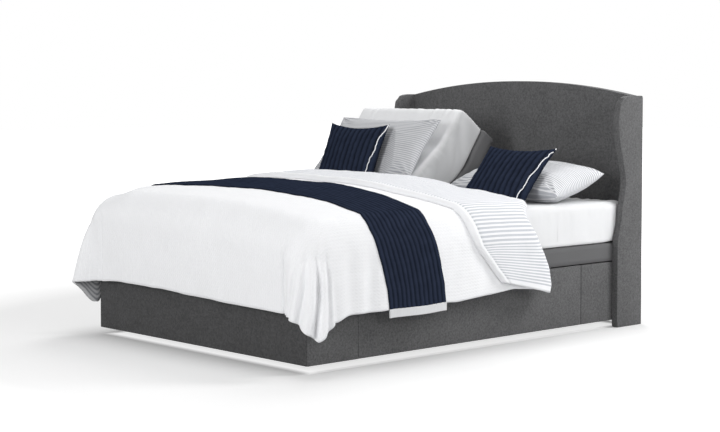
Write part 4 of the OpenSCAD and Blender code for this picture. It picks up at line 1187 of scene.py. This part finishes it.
class BED_OT_lay_runner(bpy.types.Operator):
    """Lays the navy runner over the duvet, with a pale ribbed band at each end."""

    bl_idname = "bed.lay_runner"
    bl_label = "Lay the runner"

    def execute(self, context):
        count = sizes().runner_channels
        x, du, side = across_cloth(RUNNER_REACH, 112)
        v = np.linspace(0, 1, count * 7 + 1)[:, None]
        channels = np.abs(np.sin(math.pi * count * v)) ** 0.7
        piece = runner_sheet("runner_cloth", x, du, side, v, 0.0008, RUNNER_THICK * (1 + channels))
        dress(piece, finish_named("navy_cotton"))
        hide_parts("runner")
        follow(piece, KNEE_ZONE)
        v = np.linspace(0, 1, 150)[:, None]
        ribs = np.abs(np.sin(math.pi * v * sizes().runner_width / RIB_PITCH)) ** 0.8
        lift = BAND_THICK + RIB_DEPTH * ribs
        fall = np.linspace(*BAND_REACH, 14)
        for way, word in SIDES:
            band = runner_sheet(f"runner_band_{word}", way * SHOULDER_X, fall, way, v, 0.0002, lift)
            dress(band, finish_named("ribbed_band"))
            follow(band, KNEE_ZONE)
        line = duvet_point(x, runner_rows(x, du, 0.5), du, 0 * x, side, 0.003)
        return {"FINISHED"}


# Pillows and cushions


def crowned(width, height, thick, u, v, relief, way, drawn, filled):
    """One face of a stuffed form, drawn in along its sides, full in its middle, 0 at its seam."""
    full = (1 - np.abs(u) ** filled) ** 0.5 * (1 - np.abs(v) ** filled) ** 0.5
    return np.stack([width / 2 * u * (1 - drawn[0] * (1 - v * v)),
                     height / 2 * v * (1 - drawn[1] * (1 - u * u)),
                     way * (thick / 2 * full + relief * np.minimum(1, 3 * full))], -1)


def tipped(points, degrees):
    """A form tipped about its middle."""
    return turned(points, 0.0, 0.0, math.radians(degrees))


def eased_row(count, power):
    """Values from -1 to 1, closer together near the ends."""
    s = np.linspace(-1, 1, count)
    return np.sign(s) * (1 - (1 - np.abs(s)) ** power)


def on_back_section(points, side):
    """Points counted from the back fold on the mattress, put where that section lies."""
    return raised_stiff(points + (0, BACK_FOLD, MATTRESS_TOP), side)


def channelled(u):
    """The relief of the channels sewn across a cushion."""
    return CHANNEL_DEPTH * (np.abs(np.sin(math.pi / 2 * sizes().cushion_channels * (u + 1))) ** 0.7 - 1)


def cushion_rise(side):
    """How far the middle of a cushion stands off its section, so that its lowest point rests."""
    u, v = np.meshgrid(np.linspace(-1, 1, 73), np.linspace(-1, 1, 41))
    back = crowned(*CUSHION, u, v, channelled(u), -1, CUSHION_DRAWN, CUSHION_FILLED)
    return CUSHION_RISE - tipped(back, CUSHIONS[side]["tilt"])[..., 2].min()


def cushion_surface(side, u, v, way):
    """Points of a cushion's face on its section, with channels and slack between them."""
    puckers = 0.0022 * lumps(u, v * 1.3, 0.16, 0.12, 41 + side) + 0.0012 * lumps(u, v, 0.05, 0.06, 43)
    relief = channelled(u) + puckers - 0.002
    spot = CUSHIONS[side]
    face = crowned(*CUSHION, u, v, relief, way, CUSHION_DRAWN, CUSHION_FILLED)
    face = tipped(face, spot["tilt"]) + (spot["x"], spot["s"], cushion_rise(side))
    face[..., 2] = np.maximum(face[..., 2], LEAST_RISE)
    return on_back_section(face, side)


def piping_rings(side):
    """Rings of the piping that wanders down one side of a cushion's face, half sunk into it."""
    v = np.linspace(0.985, -0.985, 120)
    u = 0.87 + 0.11 * v + 0.012 * np.sin(9 * v) + 0.016 * lumps(v, 0 * v, 0.11, 1.0, 45 + side)
    line = cushion_surface(side, u, v, 1)
    slope = np.gradient(line, axis=0)
    out = unit(np.cross(cushion_surface(side, u + 0.01, v, 1) - line, slope))
    out *= np.sign(out[:, 2:3])
    middle = line + out * PIPING_RADIUS * 0.7
    turn = (np.linspace(0, 2 * math.pi, 10, endpoint=False) + math.pi / 10)[:, None]
    spokes = np.cos(turn) * unit(np.cross(slope, out))[:, None] + np.sin(turn) * out[:, None]
    return middle[:, None] + PIPING_RADIUS * spokes


class BED_OT_lay_cushions(bpy.types.Operator):
    """Leans the two navy cushions, sewn in channels, with a white piping along one side."""

    bl_idname = "bed.lay_cushions"
    bl_label = "Lay the cushions"

    def execute(self, context):
        navy = finish_named("navy_cotton")
        count = sizes().cushion_channels
        for side, word in SIDES:
            u, v = np.meshgrid(np.linspace(-1, 1, count * 12 + 1), eased_row(56, 1.35))
            uv = np.stack([v * CUSHION[1] / 2, (u + 1) / 2 * count], -1)
            face, back = (cushion_surface(side, u, v, way) for way in (1, -1))
            piece = shell(f"cushion_{word}_quilted", face, back, uv)
            dress(piece, navy, f"back_{word}")
            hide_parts(f"cushion_{word}")
            piping = tube(f"cushion_{word}_piping", piping_rings(side))
            dress(piping, finish_named("white_piping"), f"back_{word}")
        return {"FINISHED"}


def pillow_surfaces(side, u, v):
    """The top and the underside of a pillow, pressed by the mattress and by its cushion."""
    spot = PILLOWS[side]
    corner = np.hypot(1 - np.abs(u), 1 - np.abs(v))
    angle = np.arctan2(1 - np.abs(v) + 1e-6, 1 - np.abs(u) + 1e-6)
    rays = np.cos(angle * 11 + np.sign(u) * 1.3 + np.sign(v) * 0.7) * bell(corner / 0.42) * 0.0055
    slack = 0.0040 * lumps(u, v, 0.34, 0.36, 51 + side)
    slack = slack + 0.0026 * (creases(u + 0.4 * v, v, 0.5, 0.21, 53) - 0.3)
    edge = 0.0020 * lumps(u, v, 0.07, 0.5, 54) * smooth((np.abs(v) - 0.72) / 0.2)
    relief = rays + slack + edge - 0.004

    def face(u, v, relief, way):
        """One face of the pillow at its tilt."""
        form = crowned(*PILLOW, spot["thick"], u, v, relief, way, PILLOW_DRAWN, spot["filled"])
        return tipped(form, spot["tilt"])

    # A pillow sinks in a little way, and its underside is pressed level there
    plain = face(*np.meshgrid(np.linspace(-1, 1, 33), np.linspace(-1, 1, 25)), 0.0, -1)
    place = (side * (SPLIT + PILLOW[0] / 2), spot["s"], -SUNK - plain[..., 2].min())
    low, high = face(u, v, 0.4 * relief, -1) + place, face(u, v, relief, 1) + place
    low[..., 2] = np.maximum(low[..., 2], LEAST_RISE)
    rest = CUSHIONS[side]
    lean = math.radians(rest["tilt"])
    spare = np.maximum(0, np.abs(high[..., 0] - rest["x"]) - CUSHION[0] / 2)
    back = (cushion_rise(side) + (high[..., 1] - rest["s"]) * math.tan(lean)
            - (CUSHION[2] / 2 + 0.0012) / math.cos(lean) + 0.4 * spare)
    high[..., 2] = np.minimum(high[..., 2], back)
    seam = np.maximum(np.abs(u), np.abs(v)) > 0.9999
    high[..., 2] = np.maximum(high[..., 2], low[..., 2] + np.where(seam, 0.0, 0.004))
    high[seam] = low[seam]
    return on_back_section(high, side), on_back_section(low, side)


class BED_OT_lay_pillows(bpy.types.Operator):
    """Lays the two striped pillows behind the cushions."""

    bl_idname = "bed.lay_pillows"
    bl_label = "Lay the pillows"

    def execute(self, context):
        for side, word in SIDES:
            u, v = np.meshgrid(eased_row(122, 1.2), eased_row(76, 1.25))
            uv = np.stack([u * PILLOW[0] / 2, v * PILLOW[1] / 2], -1)
            piece = shell(f"pillow_{word}_striped", *pillow_surfaces(side, u, v), uv)
            # The left pillow wears the darker copy of the cotton, as painted shade
            dress(piece, finish_named("pillow_cotton_left" if side < 0 else "pillow_cotton"))
            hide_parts(f"pillow_{word}")
            if side > 0:
                follow(piece, NECK_ZONE)
            else:
                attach(piece, "back_left")
        return {"FINISHED"}


# Frame and electrics


class BED_OT_finish_frame(bpy.types.Operator):
    """Gives the steel frame, the hinges, the actuators and the boxes their finishes."""

    bl_idname = "bed.finish_frame"
    bl_label = "Finish the frame"
    finishes = {"frame_paint": "painted_tube", "bare_steel": "zinc_steel",
                "black_plastic": "box_plastic", "buffer_rubber": "soft_rubber"}

    def execute(self, context):
        slots = {part["node"]: part["material_slot"] for part in frame["record"]["subparts"]}
        for name, node in NODES.items():
            finish = self.finishes.get(slots.get(name))
            if finish:
                node.data.materials.clear()
                node.data.materials.append(finish_named(finish))
        return {"FINISHED"}


# Camera, floor and light


class BED_OT_place_camera(bpy.types.Operator):
    """Places the camera at the photograph's viewpoint."""

    bl_idname = "bed.place_camera"
    bl_label = "Place the camera"

    def execute(self, context):
        bpy.ops.object.camera_add(location=VIEWPOINT, rotation=(math.pi / 2 - TIPPED_DOWN, 0, TURNED_LEFT))
        camera = bpy.context.object
        camera.name = "photo_view"
        camera.data.lens = LENS
        camera.data.sensor_width = SENSOR
        camera.data.shift_x, camera.data.shift_y = SHIFT
        camera.data.clip_end = 100
        bpy.context.scene.camera = camera
        return {"FINISHED"}


def soft_lamp(name, place, aim, size, power):
    """A square area lamp that points at a place."""
    bpy.ops.object.light_add(type="AREA", location=place)
    lamp = bpy.context.object
    lamp.name = name
    lamp.data.shape = "SQUARE"
    lamp.data.size = size
    lamp.data.energy = power
    lamp.rotation_euler = (Vector(aim) - Vector(place)).to_track_quat("-Z", "Y").to_euler()


def seen_directly(tree):
    """1 for rays from the camera and for those that show the stage in gloss or glass."""
    path = tree.nodes.new("ShaderNodeLightPath")
    some = maths(tree, "MAXIMUM", path.outputs["Is Camera Ray"], path.outputs["Is Glossy Ray"])
    return maths(tree, "MAXIMUM", some, path.outputs["Is Transmission Ray"])


def floor_glow_painted_light_and_shadow(tree, place):
    """Camera-only glow of the floor: a painted shadow beside the bed, painted light under its edges, full white
    far away.
    """
    x, y, _ = axes(tree, place)
    away = maths(tree, "SQRT", scaled(tree, y, y, scaled(tree, x, x)))
    past_end = scaled(tree, maths(tree, "ABSOLUTE", y), -1.0, BED_LENGTH / 2)
    past_side = scaled(tree, maths(tree, "ABSOLUTE", x), -1.0, HALF_WIDTH)
    inside = maths(tree, "MINIMUM", past_end, past_side)
    # Painted light: the floor under the base's edges glows paler, from 5 cm inside them to about 25 cm
    near_edge = ramp(tree, inside, 0.30, 0.20, "SMOOTHSTEP")
    under = maths(tree, "MULTIPLY", ramp(tree, inside, 0.0, 0.05), near_edge)
    # Painted shadow: the glow drops in a band from 30 cm outside the bed's footprint inwards
    beside = ramp(tree, inside, -0.30, 0.0, "SMOOTHSTEP")
    glow = scaled(tree, ramp(tree, away, 2.0, 4.5), 0.9, 0.24)
    glow = scaled(tree, under, 0.60, scaled(tree, beside, -0.10, glow))
    return maths(tree, "MULTIPLY", seen_directly(tree), glow)


class BED_OT_set_stage(bpy.types.Operator):
    """Sets the pale floor, the white background and the soft studio light."""

    bl_idname = "bed.set_stage"
    bl_label = "Set the stage"

    def execute(self, context):
        bpy.ops.mesh.primitive_plane_add(size=60, location=(0, 0, 0))
        floor = bpy.context.object
        floor.name = "floor"
        finish, tree, body, place = shader("pale_floor")
        body.inputs["Base Color"].default_value = FLOOR
        feel(body, 1.0, 0.0)
        # The floor's glow holds painted shadow beside the bed and painted light under its edges
        glow = add(tree, "ShaderNodeEmission", Strength=floor_glow_painted_light_and_shadow(tree, place))
        both = add(tree, "ShaderNodeAddShader", i0=body.outputs[0], i1=glow.outputs[0])
        tree.links.new(both.outputs[0], tree.nodes["Material Output"].inputs["Surface"])
        floor.data.materials.append(finish)
        world = bpy.data.worlds.new("studio")
        bpy.context.scene.world = world
        world.use_nodes = True
        sky = world.node_tree
        level = scaled(sky, seen_directly(sky), 1 - AMBIENT, AMBIENT)
        sky.links.new(level, sky.nodes["Background"].inputs["Strength"])
        sky.nodes["Background"].inputs["Color"].default_value = (1, 1, 1, 1)
        for lamp in LAMPS:
            soft_lamp(*lamp)
        bpy.context.scene.view_settings.view_transform = "Standard"
        return {"FINISHED"}


OPERATORS = (
    BED_OT_place_camera,
    BED_OT_upholster_base,
    BED_OT_upholster_headboard,
    BED_OT_cover_decks,
    BED_OT_finish_frame,
    BED_OT_lay_mattress,
    BED_OT_spread_duvet,
    BED_OT_turn_duvet_back,
    BED_OT_lay_runner,
    BED_OT_lay_pillows,
    BED_OT_lay_cushions,
    BED_OT_set_stage,
)


class BED_PT_sidebar(bpy.types.Panel):
    """The bed's sizes, colours and steps."""

    bl_idname = "BED_PT_sidebar"
    bl_label = "Adjustable bed"
    bl_space_type = "VIEW_3D"
    bl_region_type = "UI"
    bl_category = "Bed"

    def draw(self, context):
        for group in (context.scene.bed_sizes, context.scene.bed_colours):
            box = self.layout.box()
            for name in group.__annotations__:
                box.prop(group, name)
        for operator in OPERATORS:
            self.layout.operator(operator.bl_idname)


CLASSES = (BedSizes, BedColours, *OPERATORS, BED_PT_sidebar)


def register():
    """Registers the sizes, the colours, the operators and the panel."""
    for kind in CLASSES:
        bpy.utils.register_class(kind)
    bpy.types.Scene.bed_sizes = bpy.props.PointerProperty(type=BedSizes)
    bpy.types.Scene.bed_colours = bpy.props.PointerProperty(type=BedColours)


def unregister():
    """Takes them away again."""
    del bpy.types.Scene.bed_colours
    del bpy.types.Scene.bed_sizes
    for kind in reversed(CLASSES):
        bpy.utils.unregister_class(kind)


def main():
    """Runs every step in order."""
    register()
    for operator in OPERATORS:
        group, name = operator.bl_idname.split(".")
        getattr(getattr(bpy.ops, group), name)()


if __name__ == "__main__":
    main()
